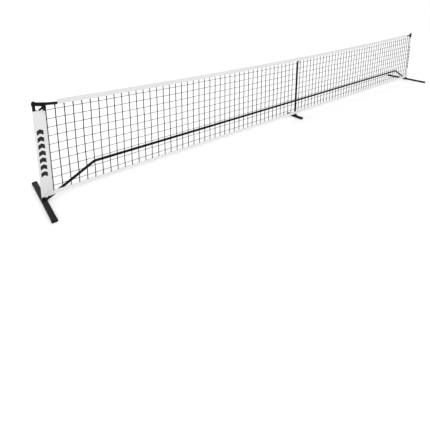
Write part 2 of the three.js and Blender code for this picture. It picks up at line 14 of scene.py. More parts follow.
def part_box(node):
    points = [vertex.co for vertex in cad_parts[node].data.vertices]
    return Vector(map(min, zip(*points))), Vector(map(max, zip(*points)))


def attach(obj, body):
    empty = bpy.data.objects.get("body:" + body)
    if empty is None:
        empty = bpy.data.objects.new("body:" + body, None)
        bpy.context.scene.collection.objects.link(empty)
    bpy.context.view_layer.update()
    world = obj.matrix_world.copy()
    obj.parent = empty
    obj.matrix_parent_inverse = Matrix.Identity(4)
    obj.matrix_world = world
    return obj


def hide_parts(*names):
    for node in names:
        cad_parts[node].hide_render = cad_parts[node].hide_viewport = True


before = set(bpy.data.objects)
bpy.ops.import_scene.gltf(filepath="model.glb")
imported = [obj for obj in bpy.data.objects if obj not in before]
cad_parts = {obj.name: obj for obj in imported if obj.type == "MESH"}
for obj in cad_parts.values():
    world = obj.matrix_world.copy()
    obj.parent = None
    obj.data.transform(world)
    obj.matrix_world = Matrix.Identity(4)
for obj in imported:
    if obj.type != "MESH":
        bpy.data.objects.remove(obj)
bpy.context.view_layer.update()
rng = np.random.default_rng(7)

MM = 0.001
INCH = 25.4 * MM
SIDES = {"left": -1.0, "right": 1.0}
ENDS = {"front": -1.0, "back": 1.0}

# Frame sizes, as the CAD has them.
TUBE_R = 12.7 * MM
TUBE_WALL = 1.2 * MM
GAP = 0.3 * MM
BORE_R = TUBE_R - TUBE_WALL
SPIGOT_R = BORE_R - GAP
SPIGOT_BORE_R = SPIGOT_R - TUBE_WALL
SPIGOT_LENGTH = 52 * MM
SHOULDER = 3 * MM
ROUND = 48
BUTTON_HOLE_R = 4 * MM
BUTTON_INSET = 20 * MM
LEAF_ARM = 28 * MM
LEAF_SEAT = 8.6 * MM
BUTTON_R = 3.2 * MM
BUTTON_PROUD = 3 * MM
LEAF_END = 4.2 * MM
FOOT_CORNER = 9 * MM
FOOT_WALL = 1.5 * MM
CAP_END = 4 * MM
CAP_RISE = 3.1 * MM
PLATE = 3 * MM
PLATE_HALF = 28 * MM
BARS_PER_SIDE = 3

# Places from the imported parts.
POST_LOW, POST_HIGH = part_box("right_post")
POST_X = (POST_LOW.x + POST_HIGH.x) / 2
BAR_Z = (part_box("right_bar_1")[0].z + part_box("right_bar_1")[1].z) / 2
NET_LOW, NET_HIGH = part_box("right_net_panel")
NET_Y = (NET_LOW.y + NET_HIGH.y) / 2
NET_EDGE = NET_HIGH.x
BAND_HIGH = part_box("right_top_band")[1]
BAND_END = BAND_HIGH.x
BAND_TOP_END = BAND_HIGH.z
BAND_TOP_MIDDLE = 34 * INCH
BAND_DROP = 46 * MM
LOWER_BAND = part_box("bottom_band")
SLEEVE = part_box("right_sleeve")


# ---------------- camera and stage

CAMERA_PLACE = (-3.884, -3.146, 1.872)
CAMERA_YAW = 37.85
CAMERA_PITCH = 12.16
CAMERA_FOCAL_PX = 362.0
CAMERA_SHIFT = -0.36
FRAME_PX = 430.0
SENSOR = 36.0
CLIP = (0.05, 200.0)
AMBIENT = 0.84
BACKDROP = 1.02
FLOOR_HALF = 60.0
FLOOR_GLOW = 0.26
LIGHTS = {"key": ((-4.5, -5.0, 6.5), 95.0), "fill": ((5.0, 5.5, 5.5), 40.0)}
LIGHT_SIZE = (7.0, 4.0)
LIGHT_TARGET = (0.0, 0.0, 0.4)


def add_object(name, data):
    made = bpy.data.objects.new(name, data)
    bpy.context.scene.collection.objects.link(made)
    return made


def add_camera():
    data = bpy.data.cameras.new("camera")
    data.sensor_width = SENSOR
    data.lens = CAMERA_FOCAL_PX / FRAME_PX * SENSOR
    data.shift_y = CAMERA_SHIFT
    data.clip_start, data.clip_end = CLIP
    camera = add_object("camera", data)
    yaw = Matrix.Rotation(-math.radians(CAMERA_YAW), 4, "Z")
    pitch = Matrix.Rotation(math.radians(90 - CAMERA_PITCH), 4, "X")
    camera.matrix_world = Matrix.Translation(CAMERA_PLACE) @ yaw @ pitch
    bpy.context.scene.camera = camera


def add_light(name, place, energy):
    data = bpy.data.lights.new(name, "AREA")
    data.shape = "RECTANGLE"
    data.size, data.size_y = LIGHT_SIZE
    data.energy = energy
    light = add_object(name, data)
    light.location = place
    light.rotation_euler = (Vector(LIGHT_TARGET) - Vector(place)).to_track_quat("-Z", "Y").to_euler()


def add_stage():
    world = bpy.data.worlds.new("studio")
    world.use_nodes = True
    tree = world.node_tree
    background = tree.nodes["Background"]
    background.inputs["Color"].default_value = (1.0, 1.0, 1.0, 1.0)
    seen = tree.nodes.new("ShaderNodeLightPath").outputs["Is Camera Ray"]
    strength = tree.nodes.new("ShaderNodeMapRange")
    strength.inputs["To Min"].default_value = AMBIENT
    strength.inputs["To Max"].default_value = BACKDROP
    tree.links.new(seen, strength.inputs["Value"])
    tree.links.new(strength.outputs["Result"], background.inputs["Strength"])
    bpy.context.scene.world = world
    bpy.context.scene.view_settings.view_transform = "Standard"
    for name, (place, energy) in LIGHTS.items():
        add_light(name, place, energy)
    glow = {"Emission_Color": (1.0, 1.0, 1.0, 1.0), "Emission_Strength": FLOOR_GLOW}
    surface = Recipe("studio_floor", (0.9, 0.9, 0.9), 0.9, **glow).material
    corners = [(sx * FLOOR_HALF, sy * FLOOR_HALF, 0) for sx, sy in ((-1, -1), (1, -1), (1, 1), (-1, 1))]
    mesh = bpy.data.meshes.new("studio_floor")
    mesh.from_pydata(corners, [], [(0, 1, 2, 3)])
    mesh.materials.append(surface)
    add_object("studio_floor", mesh)


# ---------------- materials

class Recipe:
    """A material whose nodes are added one by one; textures use metres in the object's own space."""

    def __init__(self, name, color, roughness, metallic=0.0, **sockets):
        self.material = bpy.data.materials.new(name)
        self.material.use_nodes = True
        self.tree = self.material.node_tree
        self.shader = self.tree.nodes["Principled BSDF"]
        sockets |= {"Base Color": (*color, 1.0), "Roughness": roughness, "Metallic": metallic}
        for socket, value in sockets.items():
            self.shader.inputs[socket.replace("_", " ")].default_value = value

    def node(self, kind, inputs=None, **settings):
        node = self.tree.nodes.new("ShaderNode" + kind)
        for key, value in settings.items():
            setattr(node, key, value)
        for key, value in (inputs or {}).items():
            if isinstance(value, bpy.types.NodeSocket):
                self.tree.links.new(value, node.inputs[key])
            else:
                node.inputs[key].default_value = value
        return node

    def place(self):
        return self.node("TexCoord").outputs["Object"]

    def cloth(self):
        return self.node("UVMap", uv_map="cloth").outputs["UV"]

    def noise(self, scale, detail=3.0, stretch=(1, 1, 1)):
        vector = self.node("Mapping", {"Vector": self.place(), "Scale": stretch}).outputs["Vector"]
        inputs = {"Vector": vector, "Scale": scale, "Detail": detail}
        return self.node("TexNoise", inputs).outputs["Fac"]

    def math(self, operation, *values):
        inputs = dict(enumerate(values))
        return self.node("Math", inputs, operation=operation).outputs[0]

    def wave(self, vector, per_u, per_v):
        """A sine over the cloth coordinates, from -1 to 1."""
        factors = (2 * math.pi * per_u, 2 * math.pi * per_v, 0.0)
        along = self.node("VectorMath", {0: vector, 1: factors}, operation="DOT_PRODUCT")
        return self.math("SINE", along.outputs["Value"])

    def remap(self, value, low, high, from_low=0.3, from_high=0.7):
        inputs = {"Value": value, "To Min": low, "To Max": high}
        inputs |= {"From Min": from_low, "From Max": from_high}
        return self.node("MapRange", inputs).outputs["Result"]

    def mix(self, factor, first, second):
        return self.node("Mix", {0: factor, 6: first, 7: second}, data_type="RGBA").outputs[2]

    def split(self, vector):
        return self.node("SeparateXYZ", {0: vector}).outputs

    def times(self, first, second):
        return self.math("MULTIPLY", first, second)

    def below(self, value, limit):
        return self.math("LESS_THAN", value, limit)

    def apart(self, first, second):
        return self.math("ABSOLUTE", self.math("SUBTRACT", first, second))

    def mottle(self, pattern, low, high):
        """Base colour that runs between two greys with the pattern."""
        self.link(self.mix(self.remap(pattern, 0.0, 1.0), grey(low), grey(high)), "Base Color")

    def rough(self, pattern, low, high):
        self.link(self.remap(pattern, low, high), "Roughness")

    def link(self, value, socket):
        self.tree.links.new(value, self.shader.inputs[socket])

    def bump(self, layers):
        """layers: (height, strength, distance in metres), laid over each other."""
        normal = None
        for height, strength, distance in layers:
            node = self.node("Bump", {"Height": height, "Strength": strength, "Distance": distance})
            if normal is not None:
                self.tree.links.new(normal, node.inputs["Normal"])
            normal = node.outputs["Normal"]
        self.link(normal, "Normal")


def grey(value):
    return (value, value, value * 1.01, 1.0)


def upward(recipe, low, high):
    """0 on walls and undersides, 1 on what faces up."""
    normal = recipe.node("NewGeometry").outputs["Normal"]
    return recipe.remap(recipe.split(normal)["Z"], 0.0, 1.0, low, high)


def powder_coat():
    made = Recipe("black_powder_coat", (0.007, 0.007, 0.0072), 0.36, Specular_IOR_Level=0.14)
    peel = made.noise(900.0, 2.0)
    smudge = made.noise(22.0, 4.0)
    scuff = made.noise(160.0, 5.0, (1, 6, 6))
    tone = made.mix(made.remap(smudge, 0.0, 1.0), grey(0.002), grey(0.006))
    dust = made.times(upward(made, 0.5, 1.0), made.remap(scuff, 0.0, 0.35, 0.5, 0.8))
    made.link(made.mix(dust, tone, grey(0.014)), "Base Color")
    made.rough(smudge, 0.28, 0.44)
    made.bump([(peel, 0.18, 0.0002), (scuff, 0.05, 0.0002)])
    return made.material


def moulded_plastic(name, tone, roughness, grain):
    made = Recipe(name, (tone, tone, tone), roughness, Specular_IOR_Level=0.18)
    pebble = made.noise(grain, 2.0)
    wear = made.noise(70.0, 4.0)
    made.mottle(wear, tone * 0.7, tone * 1.7)
    made.rough(wear, roughness - 0.07, roughness + 0.1)
    made.bump([(pebble, 0.3, 0.0002), (wear, 0.06, 0.0003)])
    return made.material


def spring_steel():
    made = Recipe("spring_steel", (0.6, 0.61, 0.62), 0.28, 1.0)
    brushed = made.noise(2600.0, 2.0, (1, 1, 0.06))
    stain = made.noise(140.0, 4.0)
    made.mottle(stain, 0.48, 0.66)
    made.rough(brushed, 0.2, 0.38)
    made.bump([(brushed, 0.08, 0.0001)])
    return made.material


PRINT_Z = (0.253, 0.699)
PRINT_HALF = 26 * MM
PRINT_X = POST_X - 26 * MM
CHEVRONS = 7
CHEVRON_SLOPE = 0.6
CHEVRON_INK = 0.62
PRINT_FRONT = -11.5 * MM


def chevrons(made):
    """A column of plain chevrons on the sleeve's front, as a mask."""
    parts = made.split(made.place())
    across = made.apart(made.math("ABSOLUTE", parts["X"]), PRINT_X)
    raised = made.math("ADD", parts["Z"], made.times(across, CHEVRON_SLOPE))
    pitch = (PRINT_Z[1] - PRINT_Z[0]) / CHEVRONS
    turns = made.math("DIVIDE", made.math("SUBTRACT", raised, PRINT_Z[0]), pitch)
    ink = made.below(made.math("FRACT", turns), CHEVRON_INK)
    ends = ((0.0, turns), (turns, float(CHEVRONS)))
    for value, limit in ((across, PRINT_HALF), *ends, (parts["Y"], PRINT_FRONT)):
        ink = made.times(ink, made.below(value, limit))
    return ink


WEB_PITCH = 2.1 * MM


def webbing():
    made = Recipe("black_webbing", (0.006, 0.006, 0.0062), 0.8, Specular_IOR_Level=0.12, Sheen_Weight=0.03)
    cloth = made.cloth()
    ribs = [made.wave(cloth, 1 / WEB_PITCH, slant / (2 * WEB_PITCH)) for slant in (1, -1)]
    twill = made.math("MAXIMUM", *ribs)
    fuzz = made.noise(1500.0, 3.0)
    made.mottle(fuzz, 0.003, 0.011)
    made.rough(fuzz, 0.66, 0.85)
    made.bump([(twill, 0.5, 0.0003), (fuzz, 0.2, 0.0002)])
    return made.material


def twisted_cord(name, dark, light, strands, lay, gloss):
    """Twisted strands; the cord's coordinates are 0 to 1 round it and metres along it."""
    made = Recipe(name, (dark, dark, dark), 0.7, Specular_IOR_Level=gloss)
    strand = made.wave(made.cloth(), strands, 1 / lay)
    fuzz = made.noise(1900.0, 3.0)
    # Painted shade: darker in the grooves between the strands, lighter on their crowns.
    tone = made.mix(made.remap(strand, 0.0, 1.0, -1.0, 1.0), grey(dark), grey(light))
    made.link(made.mix(made.remap(fuzz, 0.0, 0.4), tone, grey(light)), "Base Color")
    made.rough(fuzz, 0.62, 0.82)
    made.bump([(strand, 0.6, 0.0004), (fuzz, 0.15, 0.0002)])
    return made.material


def thread(name, tone):
    made = Recipe(name, (tone, tone, tone), 0.6, Sheen_Weight=0.2)
    fuzz = made.noise(2400.0, 2.0)
    made.mottle(fuzz, tone * 0.8, min(tone * 1.15, 0.95))
    made.bump([(fuzz, 0.3, 0.0001)])
    return made.material


# ---------------- meshes

X, Y, Z = np.eye(3)


class Shape:
    """Closed skins gathered into one mesh, with cloth coordinates at each face corner."""

    def __init__(self):
        self.points = []
        self.faces = []
        self.corners = []

    def loft(self, loops, closed=False, around=None, along=None):
        """Skins over loops of equal point counts; the first and last are filled, or joined when closed."""
        start = len(self.points)
        size = len(loops[0])
        around = np.linspace(0, 1, size + 1) if around is None else around
        along = np.zeros(len(loops) + 1) if along is None else along
        for loop in loops:
            self.points.extend(np.asarray(loop).tolist())
        for j in range(len(loops) if closed else len(loops) - 1):
            low = start + j * size
            high = start + (j + 1) % len(loops) * size
            for i in range(size):
                k = (i + 1) % size
                self.faces.append((low + i, low + k, high + k, high + i))
                u0, u1, v0, v1 = around[i], around[i + 1], along[j], along[j + 1]
                self.corners.append([(u0, v0), (u1, v0), (u1, v1), (u0, v1)])
        if not closed:
            for j in (0, len(loops) - 1):
                first = start + j * size
                self.faces.append(tuple(range(first, first + size)))
                self.corners.append([(around[i], along[j]) for i in range(size)])
        return self

    def turned(self, profile, origin, axis, sides=ROUND, closed=False):
        """A lathed skin: (radius, distance along the axis) pairs, none on the axis itself."""
        axis = np.asarray(axis, float)
        first, second = across_axis(axis)
        loops = [circle(np.asarray(origin) + s * axis, first, second, r, sides) for r, s in profile]
        return self.loft(loops, closed)

    def strand(self, path, section, ends=1.0, flat=None):
        """A solid rod along a path. ends draws in its two ends; flat thins it at each station."""
        path, first, second = frames_along(path)
        section = np.asarray(section)
        scale = np.ones(len(path))
        scale[[0, -1]] = ends
        flat = np.ones(len(path)) if flat is None else flat
        spread = scale * (1.4 - 0.4 * flat)
        loops = [
            p + s * section[:, :1] * a + f * section[:, 1:] * b
            for p, s, f, a, b in zip(path, spread, scale * flat, first, second)
        ]
        return self.loft(loops, along=distances(path))

    def pipe(self, path, outer, inner, sides=ROUND):
        """An open-ended tube along a path."""
        path, first, second = frames_along(path)
        ring = [circle(p, a, b, outer, sides) for p, a, b in zip(path, first, second)]
        bore = [circle(p, a, b, inner, sides) for p, a, b in zip(path, first, second)]
        return self.loft(ring + bore[::-1], closed=True)

    def ribbon(self, path, across, section):
        """Webbing along a path; across points along its width at each station."""
        path = np.asarray(path)
        tangent = unit(np.gradient(path, axis=0))
        across = np.asarray(across)
        across = unit(across - (across * tangent).sum(1, keepdims=True) * tangent)
        normal = np.cross(tangent, across)
        loops = [p + section[:, :1] * a + section[:, 1:] * n for p, a, n in zip(path, across, normal)]
        around = np.append(section[:, 0], section[0, 0])
        return self.loft(loops, around=around, along=distances(path))


def unit(vectors):
    return vectors / np.linalg.norm(vectors, axis=-1, keepdims=True)


def across_axis(axis):
    """Two directions at right angles to the axis and to each other."""
    first = unit(np.cross(axis, Y if abs(axis[1]) < 0.9 else X))
    return first, np.cross(axis, first)


def distances(path):
    """Distance along the path at each point, and once more for a closing loop."""
    steps = np.linalg.norm(np.diff(path, axis=0), axis=1)
    return np.append(np.concatenate([[0], np.cumsum(steps)]), 0)


def circle(center, first, second, radius, sides=ROUND):
    turn = np.linspace(0, 2 * np.pi, sides, endpoint=False)[:, None]
    return np.asarray(center) + radius * (np.cos(turn) * first + np.sin(turn) * second)


def round_section(radius, sides):
    return circle(np.zeros(2), np.array([1.0, 0.0]), np.array([0.0, 1.0]), radius, sides)


def arc(radius, start, end, steps, center=(0.0, 0.0)):
    """Points round a circle from start to end in degrees; two radii make it an ellipse."""
    turn = np.radians(np.linspace(start, end, steps))
    return np.asarray(center) + np.asarray(radius) * np.stack([np.cos(turn), np.sin(turn)], axis=1)


def rounded_section(width, height, corner, steps=6):
    """A rounded rectangle about the origin, as points."""
    x, y = width / 2 - corner, height / 2 - corner
    centers = [(x, -y), (x, y), (-x, y), (-x, -y)]
    return np.vstack([arc(corner, 90 * k - 90, 90 * k, steps + 1, c) for k, c in enumerate(centers)])


def beyond(x, y, offsets):
    """Points at offsets in millimetres from a place in metres."""
    return [(x + dx * MM, y + dy * MM) for dx, dy in offsets]


def laid(outline, height, axis=2):
    """A flat outline as a loop in space, at one height along the axis that it lacks."""
    return np.insert(np.asarray(outline, float), axis, height, axis=1)


def frames_along(path):
    """The path with two normals at each point that don't twist about it."""
    path = np.asarray(path, float)
    tangent = unit(np.gradient(path, axis=0))
    first = np.empty_like(path)
    normal = across_axis(tangent[0])[0]
    for i, t in enumerate(tangent):
        normal = unit(normal - normal.dot(t) * t)
        first[i] = normal
    return path, first, np.cross(tangent, first)


def smoothed(points, step, passes=4):
    """The polyline resampled evenly, with its corners eased."""
    points = np.asarray(points, float)
    reach = distances(points)[:-1]
    count = max(int(reach[-1] / step), 3)
    places = np.linspace(0, reach[-1], count + 1)
    path = np.stack([np.interp(places, reach, column) for column in points.T], axis=1)
    for _ in range(passes):
        path[1:-1] = (path[:-2] + 2 * path[1:-1] + path[2:]) / 4
    return path


def ripples(count, rise, size, seed):
    """Smooth noise along a run: a grid of random heights with rise rows, eased to count samples each way."""
    grid = np.random.default_rng(seed).normal(size=(rise, size))
    rows = np.linspace(0, rise - 1, count[0])
    columns = np.linspace(0, size - 1, count[1])
    i, j = rows.astype(int).clip(0, rise - 2), columns.astype(int).clip(0, size - 2)
    ti, tj = rows - i, columns - j
    ti, tj = (ti * ti * (3 - 2 * ti))[:, None], (tj * tj * (3 - 2 * tj))[None, :]
    low = grid[i][:, j] * (1 - tj) + grid[i][:, j + 1] * tj
    high = grid[i + 1][:, j] * (1 - tj) + grid[i + 1][:, j + 1] * tj
    return low * (1 - ti) + high * ti


def to_object(name, shape, side=1.0):
    """The shape as a mesh object; side -1 mirrors it across the middle of the net."""
    mesh = bpy.data.meshes.new(name)
    points = np.array(shape.points) * (side, 1, 1)
    mesh.from_pydata(points.tolist(), [], shape.faces)
    layer = mesh.uv_layers.new(name="cloth")
    layer.data.foreach_set("uv", np.concatenate([np.ravel(c) for c in shape.corners]).astype(np.float32))
    work = bmesh.new()
    work.from_mesh(mesh)
    bmesh.ops.recalc_face_normals(work, faces=work.faces)
    work.to_mesh(mesh)
    work.free()
    return add_object(name, mesh)


def extruded(name, outline, heights, axis=2):
    return to_object(name, Shape().loft([laid(outline, height, axis) for height in heights]))


def rod(radius, low, high, axis=Z, origin=(0, 0, 0), sides=ROUND, rings=3):
    """A solid cylinder along the axis, with its points in evenly spaced rings."""
    profile = [(radius, s) for s in np.linspace(low, high, rings)]
    return to_object("rod", Shape().turned(profile, origin, axis, sides))


def applied(base):
    """The object with its modifiers made into its mesh."""
    made = bpy.data.meshes.new_from_object(base.evaluated_get(bpy.context.evaluated_depsgraph_get()))
    base.modifiers.clear()
    base.data = made
    return base


def combine(base, others, operation):
    """Adds or cuts the other objects, which are then gone."""
    for other in others:
        modifier = base.modifiers.new("combine", "BOOLEAN")
        modifier.operation = operation
        modifier.solver = "EXACT"
        modifier.object = other
    applied(base)
    for other in others:
        bpy.data.objects.remove(other)
    return base


def bevelled(base, width, angle):
    modifier = base.modifiers.new("bevel", "BEVEL")
    modifier.width = width
    modifier.segments = 2
    modifier.limit_method = "ANGLE"
    modifier.angle_limit = math.radians(angle)
    return applied(base)


def finish_piece(piece, material, nodes=(), sharp=38.0, body="frame"):
    piece.data.materials.clear()
    piece.data.materials.append(material)
    piece.data.shade_smooth()
    piece.data.set_sharp_from_angle(angle=math.radians(sharp))
    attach(piece, body)
    if nodes:
        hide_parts(*nodes)


# ---------------- steel frame

FOOT_CAP_LOW, FOOT_CAP_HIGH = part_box("right_foot_cap_back")
FOOT_HALF = FOOT_CAP_HIGH.y
CENTER_FOOT_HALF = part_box("center_foot_cap_back")[1].y
FOOT_TUBE_LOW, FOOT_TUBE_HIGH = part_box("right_foot_tube")
FOOT_TUBE_SIZE = (FOOT_TUBE_HIGH.x - FOOT_TUBE_LOW.x, FOOT_TUBE_HIGH.z - FOOT_TUBE_LOW.z)
FOOT_CAP_SIZE = (FOOT_CAP_HIGH.x - FOOT_CAP_LOW.x, FOOT_CAP_HIGH.z - FOOT_CAP_LOW.z)
FOOT_AXIS_Z = FOOT_CAP_SIZE[1] / 2
CAP_DEPTH = FOOT_CAP_HIGH.y - FOOT_CAP_LOW.y
SADDLE_TOP = POST_LOW.z - GAP
COLLAR_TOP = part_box("center_cross")[0].z - GAP
CROSS_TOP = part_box("center_post")[0].z
CROSS_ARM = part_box("right_bar_3")[0].x
RISER_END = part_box("right_riser")[0].x
BAR_LENGTH = (RISER_END - CROSS_ARM) / BARS_PER_SIDE
RISER_DEGREES = 27.3
RISER_ANGLE = math.radians(RISER_DEGREES)
RISER_CORNER = np.array([2866 * MM, 0, BAR_Z])
RISER_UP = np.array([-math.cos(RISER_ANGLE), 0, math.sin(RISER_ANGLE)])
RISER_OUT = np.array([math.sin(RISER_ANGLE), 0, math.cos(RISER_ANGLE)])
RISER_FOOT = RISER_CORNER - 19 * INCH * RISER_UP
RISER_BEND_R = 45 * MM
RISER_START = 12 * MM
RISER_BUTTON = RISER_FOOT + (RISER_START + BUTTON_INSET) * RISER_UP
POST_BUTTON_Z = SADDLE_TOP + GAP + BUTTON_INSET / 2
LOWER_BUTTON = (0, 0, COLLAR_TOP + GAP + BUTTON_INSET)
UPPER_BUTTON = (0, 0, CROSS_TOP + BUTTON_INSET)
RING_MARGIN = 7 * MM
RING_SPACE = 4 * MM
SPIGOT_TIP = [(0, -1), (-0.6, 0)]


def hole_cutter(point, outward):
    return rod(BUTTON_HOLE_R, 4 * MM, TUBE_R + 4 * MM, outward, point, 32, 2)


def stations(low, high, holes):
    """Places for rings along a tube: even steps, with a pair close to each hole."""
    near = [h + d for h in holes for d in (-RING_MARGIN, RING_MARGIN) if low < h + d < high]
    clear = [s for s in np.linspace(low, high, 9)[1:-1] if all(abs(s - n) > RING_SPACE for n in near)]
    return sorted([low, *clear, high, *near])


def bar_tube(name, start, side, button_offsets):
    """One bar section along X: plain end at start, swaged spigot at the far end."""
    end = BAR_LENGTH - GAP
    body = stations(0.6 * MM, end - SHOULDER - 1 * MM, button_offsets)
    outside = [(TUBE_R - 0.35 * MM, 0.0)] + [(TUBE_R, s) for s in body]
    tip = end + SPIGOT_LENGTH
    neck = [(TUBE_R - 0.25 * MM, end - SHOULDER)]
    neck += beyond(SPIGOT_R, end, [(0.25, -0.6), (0, 0.4), (0, 12), (0, 28)])
    neck += beyond(SPIGOT_R, tip, [(0, -1), (-0.5, 0)])
    inside = [(SPIGOT_BORE_R, tip), (SPIGOT_BORE_R, end - 2 * MM), (BORE_R, end - 8 * MM)]
    inside += [(BORE_R, s) for s in (*reversed(body[:-1]), 0.0)]
    shape = Shape().turned(outside + neck + inside, (start, 0, BAR_Z), X, closed=True)
    cutters = [hole_cutter((side * (start + offset), 0, BAR_Z), Z) for offset in button_offsets]
    return combine(to_object(name, shape, side), cutters, "DIFFERENCE")


def riser_path():
    """Up the slant, round the bend and level into the long bar."""
    tangent = RISER_BEND_R * math.tan(RISER_ANGLE / 2)
    center = (RISER_CORNER[0] - tangent, BAR_Z - RISER_BEND_R)
    slanted = [RISER_FOOT + s * MM * RISER_UP for s in (12, 12.6, 24, 40, 120, 240, 360, 450)]
    bend = laid(arc(RISER_BEND_R, 90 - RISER_DEGREES, 90, 14, center), 0, 1)
    level = [(x * MM, 0, BAR_Z) for x in (2845, 2820, 2804, 2788, 2776.6, 2776)]
    return np.vstack([slanted, bend, level])


def weld(center, axis, radius, bead, seed):
    """A rippled ring of weld metal round a tube where it meets another part."""
    axis = np.asarray(axis, float)
    steps = 72
    path = circle(center, *across_axis(axis), radius, steps)
    wander = np.random.default_rng(seed).normal(size=steps) * 0.024
    loops = []
    for i, point in enumerate(path):
        size = bead * (1 + 0.16 * math.sin(i * math.pi / 1.5) + wander[i])
        loops.append(circle(point, unit(point - np.asarray(center)), axis, size, 10))
    return to_object("bead", Shape().loft(loops, closed=True))


def foot_tube(name, half):
    width, height = FOOT_TUBE_SIZE
    outer = rounded_section(width, height, 7.5 * MM) + (0, FOOT_AXIS_Z)
    inner = rounded_section(width - 2 * FOOT_WALL, height - 2 * FOOT_WALL, 6 * MM) + (0, FOOT_AXIS_Z)
    end = half - CAP_END - GAP
    ys = np.linspace(-end, end, 9)
    loops = [laid(outer, y, 1) for y in ys] + [laid(inner, y, 1) for y in ys[::-1]]
    return to_object(name, Shape().loft(loops, closed=True))


def foot_cap(name, half, end):
    """A moulded cap: rounded outer end, a raised rim at its mouth and a pocket for the tube."""
    width, height = FOOT_CAP_SIZE
    mouth = half - CAP_DEPTH
    profile = [(1.2 * MM, half - CAP_END)]
    profile += beyond(0, mouth, [(1.2, 0.3), (1, 0), (0.35, 0), (0, 0.4), (0, 4.5), (0.45, 5)])
    profile += beyond(0, half, [(0.45, -8), (0, -7.5), *arc(2.6, 180, 90, 6, (2.6, -2.6))])
    loops = []
    for inset, y in profile:
        section = rounded_section(width - 2 * inset, height - 2 * inset, FOOT_CORNER - inset)
        loops.append(laid(section + (0, FOOT_AXIS_Z), end * y, 1))
    return to_object(name, Shape().loft(loops))


def saddle(name, low_x, high_x, leg=False):
    """Bent plate over the foot: a top with, when leg is set, a leg down the foot's inner side."""
    bottom, top = SADDLE_TOP - PLATE, SADDLE_TOP
    outline = [(low_x, bottom), (low_x, top), (high_x, top), (high_x, bottom)]
    if leg:
        foot, bend_r = 2.5 * MM, 4 * MM
        bend = arc(bend_r, 180, 90, 8, (low_x + bend_r, top - bend_r))
        inner_x = low_x + PLATE
        outline = [(low_x, foot), *bend, *outline[2:], (inner_x, bottom), (inner_x, foot)]
    return bevelled(extruded(name, outline, (-PLATE_HALF, PLATE_HALF), 1), 0.6 * MM, 40)


def stub(origin, axis, low, high):
    """A spigot with an open, chamfered end."""
    profile = [(SPIGOT_R, low), (SPIGOT_R, (low + high) / 2), *beyond(SPIGOT_R, high, SPIGOT_TIP)]
    profile += [(SPIGOT_BORE_R, high), (SPIGOT_BORE_R, low)]
    return to_object("stub", Shape().turned(profile, origin, axis, closed=True))


def side_bracket(name, side):
    half = FOOT_TUBE_SIZE[0] / 2
    inside, outside = POST_X - half - GAP, POST_X + 50 * MM
    base = saddle(name, inside - PLATE, POST_X + half - 4 * MM, True)
    upright = stub((POST_X, 0, 0), Z, SADDLE_TOP - 1.5 * MM, SADDLE_TOP + SPIGOT_LENGTH)
    slanted = stub(RISER_FOOT, RISER_UP, -8 * MM, RISER_START + SPIGOT_LENGTH)
    reach = PLATE_HALF + 12 * MM
    room = [(inside, -reach), (outside, -reach), (outside, reach), (inside, reach)]
    tube_space = extruded("space", room, (-10 * MM, SADDLE_TOP - PLATE))
    slanted = combine(slanted, [tube_space], "DIFFERENCE")
    base = combine(base, [upright, slanted], "UNION")
    bead = weld((POST_X, 0, SADDLE_TOP - 0.9 * MM), Z, SPIGOT_R, 0.75 * MM, 3)
    base = combine(base, [bead], "UNION")
    holes = [hole_cutter((POST_X, 0, POST_BUTTON_Z), X), hole_cutter(RISER_BUTTON, RISER_OUT)]
    base = combine(base, holes, "DIFFERENCE")
    if side < 0:
        base.data.transform(Matrix.Diagonal((-1, 1, 1, 1)))
        base.data.flip_normals()
    return base


def post_tube(name, x, low, high, hole, outward):
    rings = [low, low + 0.5 * MM, *stations(low + 3 * MM, high - 3 * MM, [hole]), high]
    outside = [(TUBE_R - (0.3 * MM if s in (low, high) else 0), s) for s in rings]
    inside = [(BORE_R, s) for s in reversed(rings)]
    post = to_object(name, Shape().turned(outside + inside, (x, 0, 0), Z, closed=True))
    return combine(post, [hole_cutter((x, 0, hole), outward)], "DIFFERENCE")


def post_cap(name, x, top):
    """A domed plug with a lip and three gripping ribs in the tube."""
    seat = top - CAP_RISE
    plug = [(-1.4, -20)]
    for z in (-17, -12, -7):
        plug += [(-1.3, z), (-0.3, z + 1), (-0.3, z + 1.8), (-1.3, z + 2.4)]
    plug += [(-0.3, -2), (-0.3, 0)]
    lip = [(-0.2, 0), (0, 0.25), (0, 1.3), *arc((2.2, 1.5), 15, 90, 6, (-2.2, 1.3))]
    profile = [(4 * MM, seat - 20 * MM), *beyond(BORE_R, seat, plug), *beyond(TUBE_R, seat, lip)]
    profile += beyond(0, top, [(6, -0.1), (1.5, 0)])
    return to_object(name, Shape().turned(profile, (x, 0, 0), Z))


def snap_button(name, point, outward, leaf, side):
    """A domed button on its leaf spring, which is curved to press against the tube."""
    point, outward, leaf = [np.asarray(v, float) for v in (point, outward, leaf)]
    across = np.cross(outward, leaf)
    top = TUBE_R + BUTTON_PROUD
    dome = [(math.cos(a) - 1, math.sin(a) - 1) for a in np.radians((0, 20, 40, 60, 80, 90))]
    head = [(BUTTON_R, LEAF_SEAT - 0.2 * MM), *beyond(BUTTON_R, top, 1.2 * np.array(dome)), (0.4 * MM, top)]
    shape = Shape().turned(head, point, outward, 32)
    section = rounded_section(7 * MM, 0.8 * MM, 0.3 * MM, 3)
    loops = []
    for s in np.linspace(-LEAF_END, LEAF_ARM, 15):
        narrow = 1.0 if s > -3 * MM else 0.75
        bow = -0.25 * MM * math.sin(math.pi * (s + LEAF_END) / (LEAF_ARM + LEAF_END))
        middle = point + s * leaf + (LEAF_SEAT + bow) * outward
        loops.append([middle + a * narrow * across + b * outward for a, b in section])
    return to_object(name, shape.loft(loops), side)


